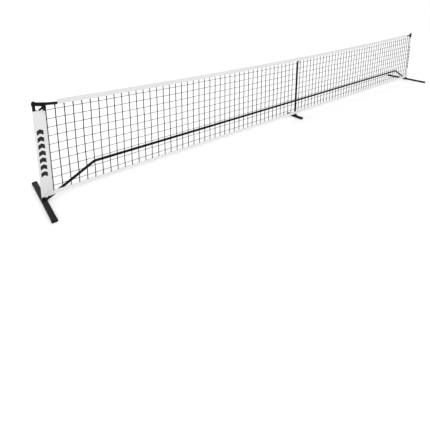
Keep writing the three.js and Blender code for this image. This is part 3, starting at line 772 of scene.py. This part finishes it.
def center_collar(name):
    """A short saddle with a collar that narrows up to the lower post's spigot."""
    base = saddle(name, -20.5 * MM, 20.5 * MM)
    low = SADDLE_TOP - 1 * MM
    loops = []
    for t in np.linspace(0, 1, 7):
        half = (22 - 8.4 * t ** 0.8) * MM
        loops.append(laid(rounded_section(1.84 * half, 2 * half, 3 * MM), low + t * (COLLAR_TOP - low)))
    flare = to_object("flare", Shape().loft(loops))
    tip = COLLAR_TOP + SPIGOT_LENGTH
    profile = beyond(SPIGOT_R, COLLAR_TOP, [(0, -2), (0, 30)]) + beyond(SPIGOT_R, tip, SPIGOT_TIP)
    spigot = to_object("spigot", Shape().turned(profile, (0, 0, 0), Z))
    bead = weld((0, 0, COLLAR_TOP - 0.4 * MM), Z, SPIGOT_R, 0.6 * MM, 3)
    base = combine(base, [flare, spigot, bead], "UNION")
    bore = rod(SPIGOT_BORE_R, SADDLE_TOP, tip + 8 * MM, rings=2)
    return combine(base, [bore, hole_cutter(LOWER_BUTTON, Y)], "DIFFERENCE")


def center_cross(name):
    """The lower post with its two arms, which the long bar's halves slide onto."""
    level = (0, 0, BAR_Z)
    reach = CROSS_ARM + SPIGOT_LENGTH
    base = rod(TUBE_R, COLLAR_TOP + GAP, CROSS_TOP - GAP)
    base.name = name
    added = [
        rod(SPIGOT_R, CROSS_TOP - 1 * MM, CROSS_TOP + SPIGOT_LENGTH),
        rod(TUBE_R, GAP - CROSS_ARM, CROSS_ARM - GAP, X, level),
        rod(SPIGOT_R, -reach, reach, X, level),
        *[weld((s * TUBE_R * 0.98, 0, BAR_Z), X, TUBE_R, 0.9 * MM, 5) for s in (-1, 1)],
    ]
    base = combine(base, added, "UNION")
    removed = [
        rod(BORE_R, COLLAR_TOP, BAR_Z - TUBE_R),
        rod(SPIGOT_BORE_R, BAR_Z - TUBE_R - 1 * MM, CROSS_TOP + SPIGOT_LENGTH + 1 * MM),
        rod(SPIGOT_BORE_R, -reach - 1 * MM, reach + 1 * MM, X, level),
        *[hole_cutter(point, Y) for point in (LOWER_BUTTON, UPPER_BUTTON)],
        *[hole_cutter((s * (CROSS_ARM + BUTTON_INSET), 0, BAR_Z), Z) for s in (-1, 1)],
    ]
    return combine(base, removed, "DIFFERENCE")


def frame_piece(piece, material, slot, x=0.0, body="frame"):
    """Moves the piece along the net, and it stands for the node that it is named after."""
    piece.data.transform(Matrix.Translation((x, 0, 0)))
    finish_piece(piece, material, [piece.name.removesuffix("_look")], body=body)


def build_frame():
    coat = (powder_coat(), "black_powder_coat")
    cap = (moulded_plastic("black_cap_plastic", 0.005, 0.5, 1400.0), "black_cap_plastic")
    steel = (spring_steel(), "spring_steel")

    def add_button(name, point, outward, leaf, sign):
        frame_piece(snap_button(name + "_look", point, outward, leaf, sign), *steel, body=name)

    feet = {"left": (-POST_X, FOOT_HALF), "right": (POST_X, FOOT_HALF), "center": (0.0, CENTER_FOOT_HALF)}
    for foot, (x, half) in feet.items():
        frame_piece(foot_tube(f"{foot}_foot_tube_look", half), *coat, x)
        for end, sign in ENDS.items():
            frame_piece(foot_cap(f"{foot}_foot_cap_{end}_look", half, sign), *cap, x)
    cap_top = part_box("right_post_cap")[1].z
    for side, sign in SIDES.items():
        frame_piece(side_bracket(f"{side}_foot_bracket_look", sign), *coat)
        x = sign * POST_X
        post = post_tube(f"{side}_post_look", x, POST_LOW.z, POST_HIGH.z, POST_BUTTON_Z, sign * X)
        frame_piece(post, *coat)
        frame_piece(post_cap(f"{side}_post_cap_look", x, cap_top), *cap)
        riser = to_object(f"{side}_riser_look", Shape().pipe(riser_path(), TUBE_R, BORE_R), sign)
        mirror = np.array([sign, 1, 1])
        leg_hole = hole_cutter((sign * (RISER_END + BUTTON_INSET), 0, BAR_Z), Z)
        holes = [hole_cutter(RISER_BUTTON * mirror, RISER_OUT * mirror), leg_hole]
        frame_piece(combine(riser, holes, "DIFFERENCE"), *coat)
        buttons = {
            "post": ((POST_X, 0, POST_BUTTON_Z), X, Z),
            "riser": (RISER_BUTTON, RISER_OUT, RISER_UP),
            "arm": ((CROSS_ARM + BUTTON_INSET, 0, BAR_Z), Z, X),
        }
        for index in range(1, BARS_PER_SIDE + 1):
            start = CROSS_ARM + BAR_LENGTH * (BARS_PER_SIDE - index)
            offsets = (BUTTON_INSET, BAR_LENGTH + BUTTON_INSET)
            frame_piece(bar_tube(f"{side}_bar_{index}_look", start, sign, offsets), *coat)
            buttons[f"bar_{index}"] = ((start + BAR_LENGTH + BUTTON_INSET, 0, BAR_Z), Z, X)
        for joint, place in buttons.items():
            add_button(f"{side}_{joint}_button", *place, sign)
    frame_piece(center_collar("center_collar_look"), *coat)
    frame_piece(center_cross("center_cross_look"), *coat)
    low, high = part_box("center_post")
    frame_piece(post_tube("center_post_look", 0.0, low.z, high.z, UPPER_BUTTON[2], Y), *coat)
    frame_piece(post_cap("center_post_cap_look", 0.0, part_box("center_post_cap")[1].z), *cap)
    add_button("center_lower_button", LOWER_BUTTON, Y, Z, 1.0)
    add_button("center_upper_button", UPPER_BUTTON, Y, Z, 1.0)


# ---------------- net and fabric

def band_top(x):
    return BAND_TOP_MIDDLE + (BAND_TOP_END - BAND_TOP_MIDDLE) * (x / BAND_END) ** 2


NET_PITCH = 74.5 * MM
NET_ROWS = 10
NET_FOOT = 60 * MM
UPRIGHT_R = 4.1 * MM
LEVEL_R = 2.5 * MM
EDGE_CORD = NET_EDGE - UPRIGHT_R - 0.5 * MM
PINCH = 0.18
PINCH_EASE = 14 * MM
NET_FORWARD = 1.5 * MM
MOUTH_EASE = 7 * MM
KNOT = [(-0.6, -5.2), (0.6, -3.2), (0.9, 0.2), (0.6, 3.4), (-0.6, 5.2)]
STRAP_SLOPE = math.atan2(19, 174)
STRAP_Z = 893.2 * MM
BAND_STEP = 12 * MM
STITCH_PITCH = 4.5 * MM
STITCH_FILL = 0.66
STITCH_HALF = 0.7 * MM
THREAD = 0.9 * MM
BRIGHTEST = 0.93


def net_head(x):
    """Height that the netting's upright cords reach: inside the band, or the strap's line beyond it."""
    inside = band_top(x) - 12 * MM
    outside = STRAP_Z - 8 * MM - (POST_X - np.abs(x)) * math.tan(STRAP_SLOPE)
    return np.where(np.abs(x) < BAND_END - 4 * MM, inside, outside)


def pinched(z, x):
    """How flat a cord is: pressed thin inside the bands, round in the open."""
    foot = (z - LOWER_BAND[1].z) / PINCH_EASE
    head = (band_top(min(abs(x), BAND_END)) - BAND_DROP - MOUTH_EASE - z) / PINCH_EASE
    return PINCH + (1 - PINCH) * np.clip(np.minimum(foot, head), 0, 1)


def build_netting():
    """Square netting: heavy upright cords, lighter level ones, and a small knot at each crossing."""
    columns = int(round(2 * NET_EDGE / NET_PITCH))
    uprights = np.linspace(-EDGE_CORD, EDGE_CORD, columns + 1)
    levels = np.arange(1, NET_ROWS + 1) / (NET_ROWS + 0.75)
    x = uprights + rng.normal(size=columns + 1) * 1.0 * MM
    x[[0, -1]] = uprights[[0, -1]]
    grid = (NET_ROWS, columns + 1)
    lift = rng.normal(size=grid) * 0.7 * MM + ripples(grid, 4, 16, 5) * 1.8 * MM
    sway = rng.normal(size=grid) * 0.6 * MM + ripples(grid, 3, 20, 6) * 1.4 * MM
    sway[:, [0, -1]] = 0
    head = net_head(x)
    span = band_top(np.minimum(np.abs(x), BAND_END)) - 22 * MM - NET_FOOT
    knots_z = NET_FOOT + levels[:, None] * span + lift
    knots_y = NET_Y - NET_FORWARD + np.clip(rng.normal(size=grid) * 0.15 * MM, -0.3 * MM, 0.3 * MM)
    knots = np.stack([x + sway, knots_y, knots_z], axis=2)
    upright, level = round_section(UPRIGHT_R, 8), round_section(LEVEL_R, 6)
    shape = Shape()
    for i in range(columns + 1):
        column = np.vstack([(x[i], NET_Y, NET_FOOT), knots[:, i], (x[i], NET_Y, head[i])])
        column = smoothed(column, 12.5 * MM, 2)
        flat = pinched(column[:, 2], x[i])
        column[:, 1] += (NET_Y - column[:, 1]) * (1 - flat) / (1 - PINCH)
        shape.strand(column, upright, flat=flat)
    end = (4 * MM, 0, 0)
    sag = np.array([0, 0, 0.9 * MM])
    for row in knots:
        cord = [row[0] - end]
        for a, b in zip(row[:-1], row[1:]):
            cord += [a, a * 0.65 + b * 0.35 - sag, a * 0.35 + b * 0.65 - sag]
        shape.strand([*cord, row[-1], row[-1] + end], level)
    knot = beyond(UPRIGHT_R, 0, KNOT)
    for place in knots.reshape(-1, 3):
        shape.turned(knot, place, Z, 8)
    material = twisted_cord("black_netting", 0.002, 0.008, 2, 0.012, 0.08)
    piece = to_object("netting", shape)
    finish_piece(piece, material, ["left_net_panel", "right_net_panel"], 60)


def folded_section(height, width, mouth, wall, steps=10):
    """Half-open band: down one side, round the fold and down the other, as (y, depth) with a wall."""
    depth = np.linspace(height, width, steps)
    half = mouth / 2 + (width - mouth) / 2 * np.clip((height - depth) / (height - width), 0, 1) ** 0.5
    fold = arc((width / 2, -width), 170, 10, steps, (0, width))
    line = np.vstack([np.stack([-half, depth], axis=1), fold, np.stack([half, depth], axis=1)[::-1]])
    along = unit(np.gradient(line, axis=0))
    normal = np.stack([-along[:, 1], along[:, 0]], axis=1)
    return np.vstack([line, (line + wall * normal)[::-1]]), distances(line)[:-1]


def cloth_object(name, loops, around, along, side=1.0):
    """Walled cloth, each loop out along one side and back along the other; its coordinates are metres."""
    around = np.concatenate([around, around[::-1], around[:1]])
    return to_object(name, Shape().loft(loops, around=around, along=np.append(along, 0)), side)


def band(name, x_reach, edge_z, height, width, mouth, wall, fold_up, seed):
    """A folded band along the net. edge_z gives its folded edge; the mouth faces the netting."""
    section, around = folded_section(height, width, mouth, wall)
    half = len(around)
    xs = np.linspace(-x_reach, x_reach, int(2 * x_reach / BAND_STEP) + 1)
    pucker = ripples((len(xs), half), int(x_reach * 60), 8, seed) * 0.28 * MM
    pucker += ripples((len(xs), half), int(x_reach * 14), 5, seed + 1) * 0.4 * MM
    wave = ripples((len(xs), 1), int(x_reach * 10), 2, seed + 2)[:, 0] * 0.5 * MM
    outward = np.sign(section[:half, 0])
    loops = []
    for i, x in enumerate(xs):
        swell = outward * np.maximum(pucker[i], -0.1 * MM)
        y = NET_Y + section[:, 0] + np.concatenate([swell, swell[::-1]])
        z = edge_z(x) - fold_up * section[:, 1] + wave[i] * np.clip(section[:, 1] / height, 0, 1)
        loops.append(laid(np.stack([y, z], axis=1), x, 0))
    return cloth_object(name, loops, around, xs), around[-1]


def edge_rows(reach, *insets):
    """Places of stitch rows along both edges of a cloth."""
    return [*insets, *(reach - inset for inset in insets)]


def stitched(made, across, along, rows):
    """Rows of stitches as two masks: the stitches alone, and the groove that they pull."""
    dash = made.below(made.math("FRACT", made.math("DIVIDE", along, STITCH_PITCH)), STITCH_FILL)
    groove = None
    for row in rows:
        near = made.below(made.apart(across, row), STITCH_HALF)
        groove = near if groove is None else made.math("MAXIMUM", groove, near)
    return made.times(groove, dash), groove


def sewn_cloth(name, tone, thread_size, rows, hems=(), printed=False):
    """Woven cloth with rows of stitches at the given places across it, and hems at those along it."""
    made = Recipe(name, (tone, tone, tone), 0.85, Sheen_Weight=0.12, Sheen_Roughness=0.4)
    parts = made.split(made.cloth())
    across, along = parts["X"], parts["Y"]
    warp = made.wave(made.cloth(), 1 / thread_size, 0)
    weft = made.wave(made.cloth(), 0, 1 / thread_size)
    checks = made.times(warp, weft)
    slub = made.noise(420.0, 3.0, (1, 1, 0.15))
    crease = made.noise(11.0, 5.0, (1, 1, 1.6))
    fine_crease = made.noise(48.0, 4.0, (0.6, 1, 1.8))
    # Painted shade: the cloth is darker in the hollows of the large crease pattern and lighter on its
    # ridges.
    shade = made.mix(made.remap(crease, 0.0, 1.0), grey(tone * 0.955), grey(min(tone * 1.02, BRIGHTEST)))
    shade = made.mix(made.remap(slub, 0.0, 0.45), shade, grey(tone * 0.93))
    shade = made.mix(made.remap(checks, 0.0, 0.3, -1.0, 1.0), shade, grey(tone * 0.84))
    height = made.split(made.place())["Z"]
    # Darker towards the bottom of the cloth, in patches that follow the crease pattern.
    grime = made.times(made.remap(height, 0.28, 0.0, 0.05, 0.2), made.remap(crease, 0.2, 1.0))
    shade = made.mix(grime, shade, grey(tone * 0.74))
    layers = [(checks, 0.4, 0.0003), (slub, 0.15, 0.0003), (fine_crease, 0.3, 0.0015), (crease, 0.35, 0.004)]
    for first, second, places in ((across, along, rows), (along, across, hems)):
        if places:
            dashes, groove = stitched(made, first, second, places)
            # Painted shade: the grooves that the stitches pull in are darkened.
            shade = made.mix(made.times(groove, 0.25), shade, grey(tone * 0.5))
            shade = made.mix(made.times(dashes, 0.9), shade, grey(min(tone * 1.04, BRIGHTEST)))
            layers += [(made.times(groove, -1.0), 0.6, 0.0006), (dashes, 0.7, 0.0006)]
    if printed:
        ink = made.mix(made.remap(checks, 0.0, 1.0, -1.0, 1.0), grey(0.006), grey(0.014))
        shade = made.mix(chevrons(made), shade, ink)
    made.link(shade, "Base Color")
    made.rough(slub, 0.78, 0.92)
    made.bump(layers)
    return made.material


def build_bands():
    top, reach = band(
        "top_band_cloth", BAND_END, band_top, BAND_DROP,
        width=7.2 * MM, mouth=4.2 * MM, wall=0.9 * MM, fold_up=1.0, seed=11)
    cloth = sewn_cloth("white_fabric", 0.80, THREAD, edge_rows(reach, 4 * MM, 9 * MM))
    finish_piece(top, cloth, ["left_top_band", "right_top_band"], 60)
    low, high = LOWER_BAND
    bottom, reach = band(
        "bottom_band_cloth", NET_EDGE, lambda x: low.z, high.z - low.z,
        width=4.2 * MM, mouth=5.4 * MM, wall=0.8 * MM, fold_up=-1.0, seed=21)
    hem = sewn_cloth("white_fabric_hem", 0.9, THREAD, edge_rows(reach, 3 * MM, 7 * MM))
    finish_piece(bottom, hem, ["bottom_band"], 60)
    xs = np.linspace(-BAND_END + 1 * MM, BAND_END - 1 * MM, 160)
    path = np.stack([xs, np.full(160, NET_Y), band_top(xs) - 7 * MM], axis=1)
    cord = to_object("top_cord_look", Shape().strand(path, round_section(2.1 * MM, 12), 0.8))
    braid = twisted_cord("white_cord", 0.55, 0.78, 3, 0.018, 0.3)
    finish_piece(cord, braid, ["top_cord"])


SLEEVE_R = 13.9 * MM
SLEEVE_WALL = 0.8 * MM
SEAM = 39 * MM
SEAM_HALF = 5 * MM


def build_sleeve(side, cloth):
    """Cloth wrapped round the post and closed into a flap over the netting's edge."""
    sign = SIDES[side]
    low, high = SLEEVE
    edge = POST_X - low.x
    front = [(-edge, NET_Y - 1.35 * MM), (-SEAM, NET_Y - 1.45 * MM)]
    back = [(-SEAM, NET_Y + 1.45 * MM), (-edge, NET_Y + 1.35 * MM)]
    line = smoothed([*front, *arc(SLEEVE_R, -92, 133, 40), *back], 2.6 * MM, 2)
    along = unit(np.gradient(line, axis=0))
    normal = np.stack([along[:, 1], -along[:, 0]], axis=1)
    around = distances(line)[:-1]
    zs = np.linspace(low.z, high.z, 118)
    grid = (len(zs), len(line))
    from_post = np.linalg.norm(line, axis=1) - SLEEVE_R
    loose = 0.5 * MM + 1.7 * MM * np.clip(from_post / (12 * MM), 0, 1)
    loose[np.abs(line[:, 0] + SEAM) < SEAM_HALF] *= 0.3
    loose[line[:, 0] < -SEAM - SEAM_HALF] *= 0.45
    seed = 31 if sign > 0 else 41
    folds = ripples(grid, 9, 7, seed) + 0.45 * ripples(grid, 34, 12, seed + 1)
    lifts = np.zeros(grid)
    lifts[[0, -1]] = ripples((2, len(line)), 2, 6, seed + 2) * 0.7 * MM
    loops = []
    for z, fold, lift in zip(zs, folds, lifts):
        calm = 0.3 + 0.7 * np.clip((z - low.z) / (70 * MM), 0, 1)
        push = calm * loose * np.maximum(fold, -0.35)
        outer = line + normal * (push + SLEEVE_WALL / 2)[:, None]
        inner = line + normal * (push - SLEEVE_WALL / 2)[:, None]
        ring = np.vstack([outer, inner[::-1]])
        rise = np.concatenate([lift, lift[::-1]])
        loops.append(np.column_stack([POST_X + ring[:, 0], ring[:, 1], z + rise]))
    piece = cloth_object(f"{side}_sleeve_cloth", loops, around, zs, sign)
    finish_piece(piece, cloth, [f"{side}_sleeve"], 60)


def build_pocket():
    """The pocket behind the band that drops over the upper post, sewn down along its two flaps."""
    low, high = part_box("center_pocket")
    front = low.y
    inner = 13.4 * MM
    outer = inner + 1.3 * MM
    flare = beyond(0, front, [(32, 0), (32, 1.3), (20, 1.5)])
    flare += beyond(outer, front, [(1.2, 2.4), (0.1, 4.5)])
    dome = [point for point in arc(outer, 0, 180, 33) if point[1] > front + 5 * MM]
    outline = np.array([*flare, *dome, *((-x, y) for x, y in reversed(flare))])
    around = distances(outline)[:-1]
    rows = edge_rows(around[-1], 5 * MM, 9 * MM)
    cloth = sewn_cloth("white_fabric_pocket", 0.80, THREAD, rows, (low.z + 5 * MM,))
    zs = np.linspace(low.z, high.z, 16)
    bulge = np.abs(ripples((16, len(outline)), 5, 9, 61)) * 0.8 * MM
    back = outline[:, 1] > front + 2 * MM
    closes = zs[12]
    loops = []
    for z, swell in zip(zs, bulge):
        closing = np.clip((z - closes) / (zs[-1] - closes), 0, 1) ** 2
        ring = outline.copy()
        ring[back] *= 1.0 - 0.1 * closing
        ring[back, 1] += swell[back]
        ring[:, 1] = np.maximum(ring[:, 1], front)
        loops.append(laid(ring, z))
    skin = Shape().loft(loops, around=np.append(around, 0), along=np.append(zs, 0))
    piece = to_object("center_pocket_cloth", skin)
    hollow = [(inner, front - 1 * MM), *arc(inner, 0, 180, 33), (-inner, front - 1 * MM)]
    cutter = extruded("cutter", hollow, (low.z - 1 * MM, high.z - 1.5 * MM))
    piece = combine(piece, [cutter], "DIFFERENCE")
    finish_piece(piece, cloth, ["center_pocket"], 50)


# ---------------- straps and buckles

WEBBING = rounded_section(25 * MM, 1.5 * MM, 0.7 * MM, 3)
STITCH = round_section(0.38 * MM, 6)
STITCH_STEP = 3.2 * MM
STITCH_DIP = np.array([0, 0.22 * MM, 0])
STITCH_FACE = 19.2 * MM


def place_on_strap(piece, sign):
    """From (along the strap, towards the front, up) to the net's frame; the left side is mirrored."""
    c, s = math.cos(STRAP_SLOPE), math.sin(STRAP_SLOPE)
    turn = Matrix(((-c, 0, -s, POST_X), (0, -1, 0, 0), (-s, 0, c, STRAP_Z), (0, 0, 0, 1)))
    piece.data.transform(Matrix.Diagonal((sign, 1, 1, 1)) @ turn)
    if sign < 0:
        piece.data.flip_normals()
    return piece


def stitch_line(shape, start, end):
    """Raised stitches from start to end, in the strap's frame."""
    start, end = np.asarray(start), np.asarray(end)
    reach = np.linalg.norm(end - start)
    along = (end - start) / reach
    count = max(int(reach / STITCH_STEP), 1)
    half = along * STITCH_STEP * 0.36
    for k in range(count):
        middle = start + along * reach * (k + 0.5) / count
        ends = (middle - half - STITCH_DIP, middle + half - STITCH_DIP)
        shape.strand([ends[0], middle - half * 0.6, middle + half * 0.6, ends[1]], STITCH, 0.5)


def box_stitch(shape, low_u, high_u, half_v=9.5 * MM):
    ring = [(low_u, -half_v), (high_u, -half_v), (high_u, half_v), (low_u, half_v)]
    corners = laid(ring, STITCH_FACE, 1)
    for first, second in ((0, 1), (1, 2), (2, 3), (3, 0), (0, 2), (1, 3)):
        stitch_line(shape, corners[first], corners[second])


def tail(path):
    """Loose webbing through (along, out, up) points, each with its turn about its own length in degrees."""
    run = smoothed(np.array(path, float) * MM, 2.2 * MM, 6)
    tangent = unit(np.gradient(run[:, :3], axis=0))
    turn = np.radians(run[:, 3:] / MM)
    side = unit(np.stack([-tangent[:, 2], np.zeros(len(run)), tangent[:, 0]], axis=1))
    return run[:, :3], np.cos(turn) * side + np.sin(turn) * Y


FRONT_TAIL = [
    (57.6, 18.9, 0, 0), (59.8, 20.8, 0, 0), (63, 24.0, 0, 0), (67.5, 26.4, -1, 2), (74, 28.2, -5, 8),
    (78, 29.6, -15, 16), (78.5, 29.4, -29, 24), (77.5, 28.6, -42, 30), (76.5, 28.0, -54, 34),
]
REAR_TAIL = [
    (90, 20.6, 0, 0), (82, 20.7, -2, 0), (75, 20.9, -11, 4), (72, 21.2, -16.5, 5), (69, 21.9, -22, 0),
    (65, 22.9, -28, -14), (59, 24.2, -34.5, -28), (51, 25.4, -40, -30), (43, 26.2, -43.5, -30),
    (36, 26.6, -46, -30),
]
LOOP_IN = [(120, 15.05), (104, 15.05), (86, 15.05)]
LOOP_OUT = [(36, 18.75), (56, 18.75)]
ANCHOR = [(184, 18.35), (150, 18.35), (116, 18.35), (84, 18.35), (78, 18.75)]
ANCHOR_END = (80.5, 15.15)


def strap_piece(side, name, shape, material, nodes=(), sharp=50.0):
    piece = place_on_strap(to_object(f"{side}_{name}", shape), SIDES[side])
    finish_piece(piece, material, nodes, sharp)


def build_straps(side, web, thread_material):
    route = laid([*LOOP_IN, *arc(15.85, -69.6, -265.9, 24), *LOOP_OUT], 0)
    loop = smoothed(route * MM, 2.0 * MM, 3)
    front, front_across = tail(FRONT_TAIL)
    across = np.vstack([np.tile(Z, (len(loop), 1)), front_across])
    shape = Shape().ribbon(np.vstack([loop, front]), across, WEBBING)
    shape.ribbon(*tail(REAR_TAIL), WEBBING)
    strap_piece(side, "tension_strap_web", shape, web, [f"{side}_tension_strap"])
    route = laid([*ANCHOR, *arc(1.8, 90, 270, 9, (73, 16.95)), ANCHOR_END], 0)
    anchor = smoothed(route * MM, 1.2 * MM, 1)
    shape = Shape().ribbon(anchor, np.tile(Z, (len(anchor), 1)), WEBBING)
    strap_piece(side, "anchor_strap_web", shape, web, [f"{side}_anchor_strap"])
    stitches = Shape()
    box_stitch(stitches, 158 * MM, 180 * MM)
    box_stitch(stitches, 90 * MM, 108 * MM)
    for v in (-10.5 * MM, 10.5 * MM):
        stitch_line(stitches, (112 * MM, STITCH_FACE, v), (156 * MM, STITCH_FACE, v))
    strap_piece(side, "strap_stitches", stitches, thread_material, sharp=38.0)


PIN = (50 * MM, 23.7 * MM, 0)
PIN_HOLE_R = 1.7 * MM
BUCKLE_HALF = 15.5 * MM
CHEEK = 2.2 * MM
HANDLE = [
    (50, 24.3), (46, 24.2), (38, 23.9), (30, 24.1), (25.2, 25.0), (24, 26.0),
    (24.4, 26.9), (30, 26.5), (38, 26.4), (46, 26.9), (50, 27.2),
]


def plate(outline, low_v, high_v):
    """An outline along and out from the strap, in millimetres, with thickness across the strap."""
    return extruded("plate", np.array(outline) * MM, (low_v, high_v))


def pin_cutter():
    return rod(PIN_HOLE_R, -20 * MM, 20 * MM, Z, PIN, 24, 2)


def buckle_frame(name):
    outline = rounded_section(38.5 * MM, 2 * BUCKLE_HALF, 3 * MM, 5) + (59.25 * MM, 0)
    base = extruded(name, outline, (16.2 * MM, 17.7 * MM), 1)
    slot = rounded_section(8 * MM, 26.2 * MM, 1.5 * MM, 4) + (70 * MM, 0)
    slot = extruded("slot", slot, (10 * MM, 30 * MM), 1)
    cheek = [(42, 16.4), (58, 16.4), (58, 21.5), *arc(4.2, 20, 160, 12, (50, 22.6)), (42, 21.5)]
    inside = BUCKLE_HALF - CHEEK
    cheeks = [plate(cheek, -BUCKLE_HALF, -inside), plate(cheek, inside, BUCKLE_HALF)]
    base = combine(base, cheeks, "UNION")
    return bevelled(combine(base, [slot, pin_cutter()], "DIFFERENCE"), 0.4 * MM, 50)


def buckle_lever(name):
    """Drum on the pin with a curved thumb handle, ridged at its tip."""
    half = BUCKLE_HALF - 2.5 * MM
    base = plate(HANDLE, -half, half)
    base.name = name
    added = [rod(3.85 * MM, -half, half, Z, PIN, 40)]
    for k in range(5):
        u = 25.6 + 1.9 * k
        ridge = [(u, 25.6), (u + 0.9, 25.6), (u + 0.75, 27.0), (u + 0.15, 27.0)]
        added.append(plate(ridge, -half * 0.82, half * 0.82))
    base = combine(base, added, "UNION")
    return bevelled(combine(base, [pin_cutter()], "DIFFERENCE"), 0.3 * MM, 50)


def build_buckles(side, plastic, steel):
    sign = SIDES[side]
    housing = place_on_strap(buckle_frame(f"{side}_buckle_frame_look"), sign)
    finish_piece(housing, plastic, [f"{side}_buckle_frame"])
    lever = place_on_strap(buckle_lever(f"{side}_buckle_lever_look"), sign)
    node = f"{side}_buckle_lever"
    finish_piece(lever, plastic, [node], body=node)
    ends = BUCKLE_HALF + 0.5 * MM
    profile = beyond(0, -ends, [(0.9, 0), (1.4, 0.4)]) + [(1.4 * MM, 0)]
    profile += beyond(0, ends, [(1.4, -0.4), (0.9, 0)])
    pin = to_object(f"{side}_buckle_pin_look", Shape().turned(profile, PIN, Z, 24))
    finish_piece(place_on_strap(pin, sign), steel, [f"{side}_buckle_pin"])


add_camera()
add_stage()
build_frame()
build_netting()
build_bands()
sleeve_low, sleeve_high = SLEEVE[0].z, SLEEVE[1].z
sleeve_hems = [sleeve_low + 8 * MM, sleeve_low + 11 * MM, sleeve_high - 8 * MM, sleeve_high - 11 * MM]
sleeve_rows = (41 * MM, 46 * MM)
sleeve_cloth = sewn_cloth("light_grey_fabric", 0.80, 1.1 * MM, sleeve_rows, sleeve_hems, printed=True)
strap_web = webbing()
strap_thread = thread("black_thread", 0.016)
buckle_plastic = moulded_plastic("black_buckle_plastic", 0.006, 0.4, 2200.0)
pin_steel = bpy.data.materials["spring_steel"]
for end in SIDES:
    build_sleeve(end, sleeve_cloth)
    build_straps(end, strap_web, strap_thread)
    build_buckles(end, buckle_plastic, pin_steel)
build_pocket()
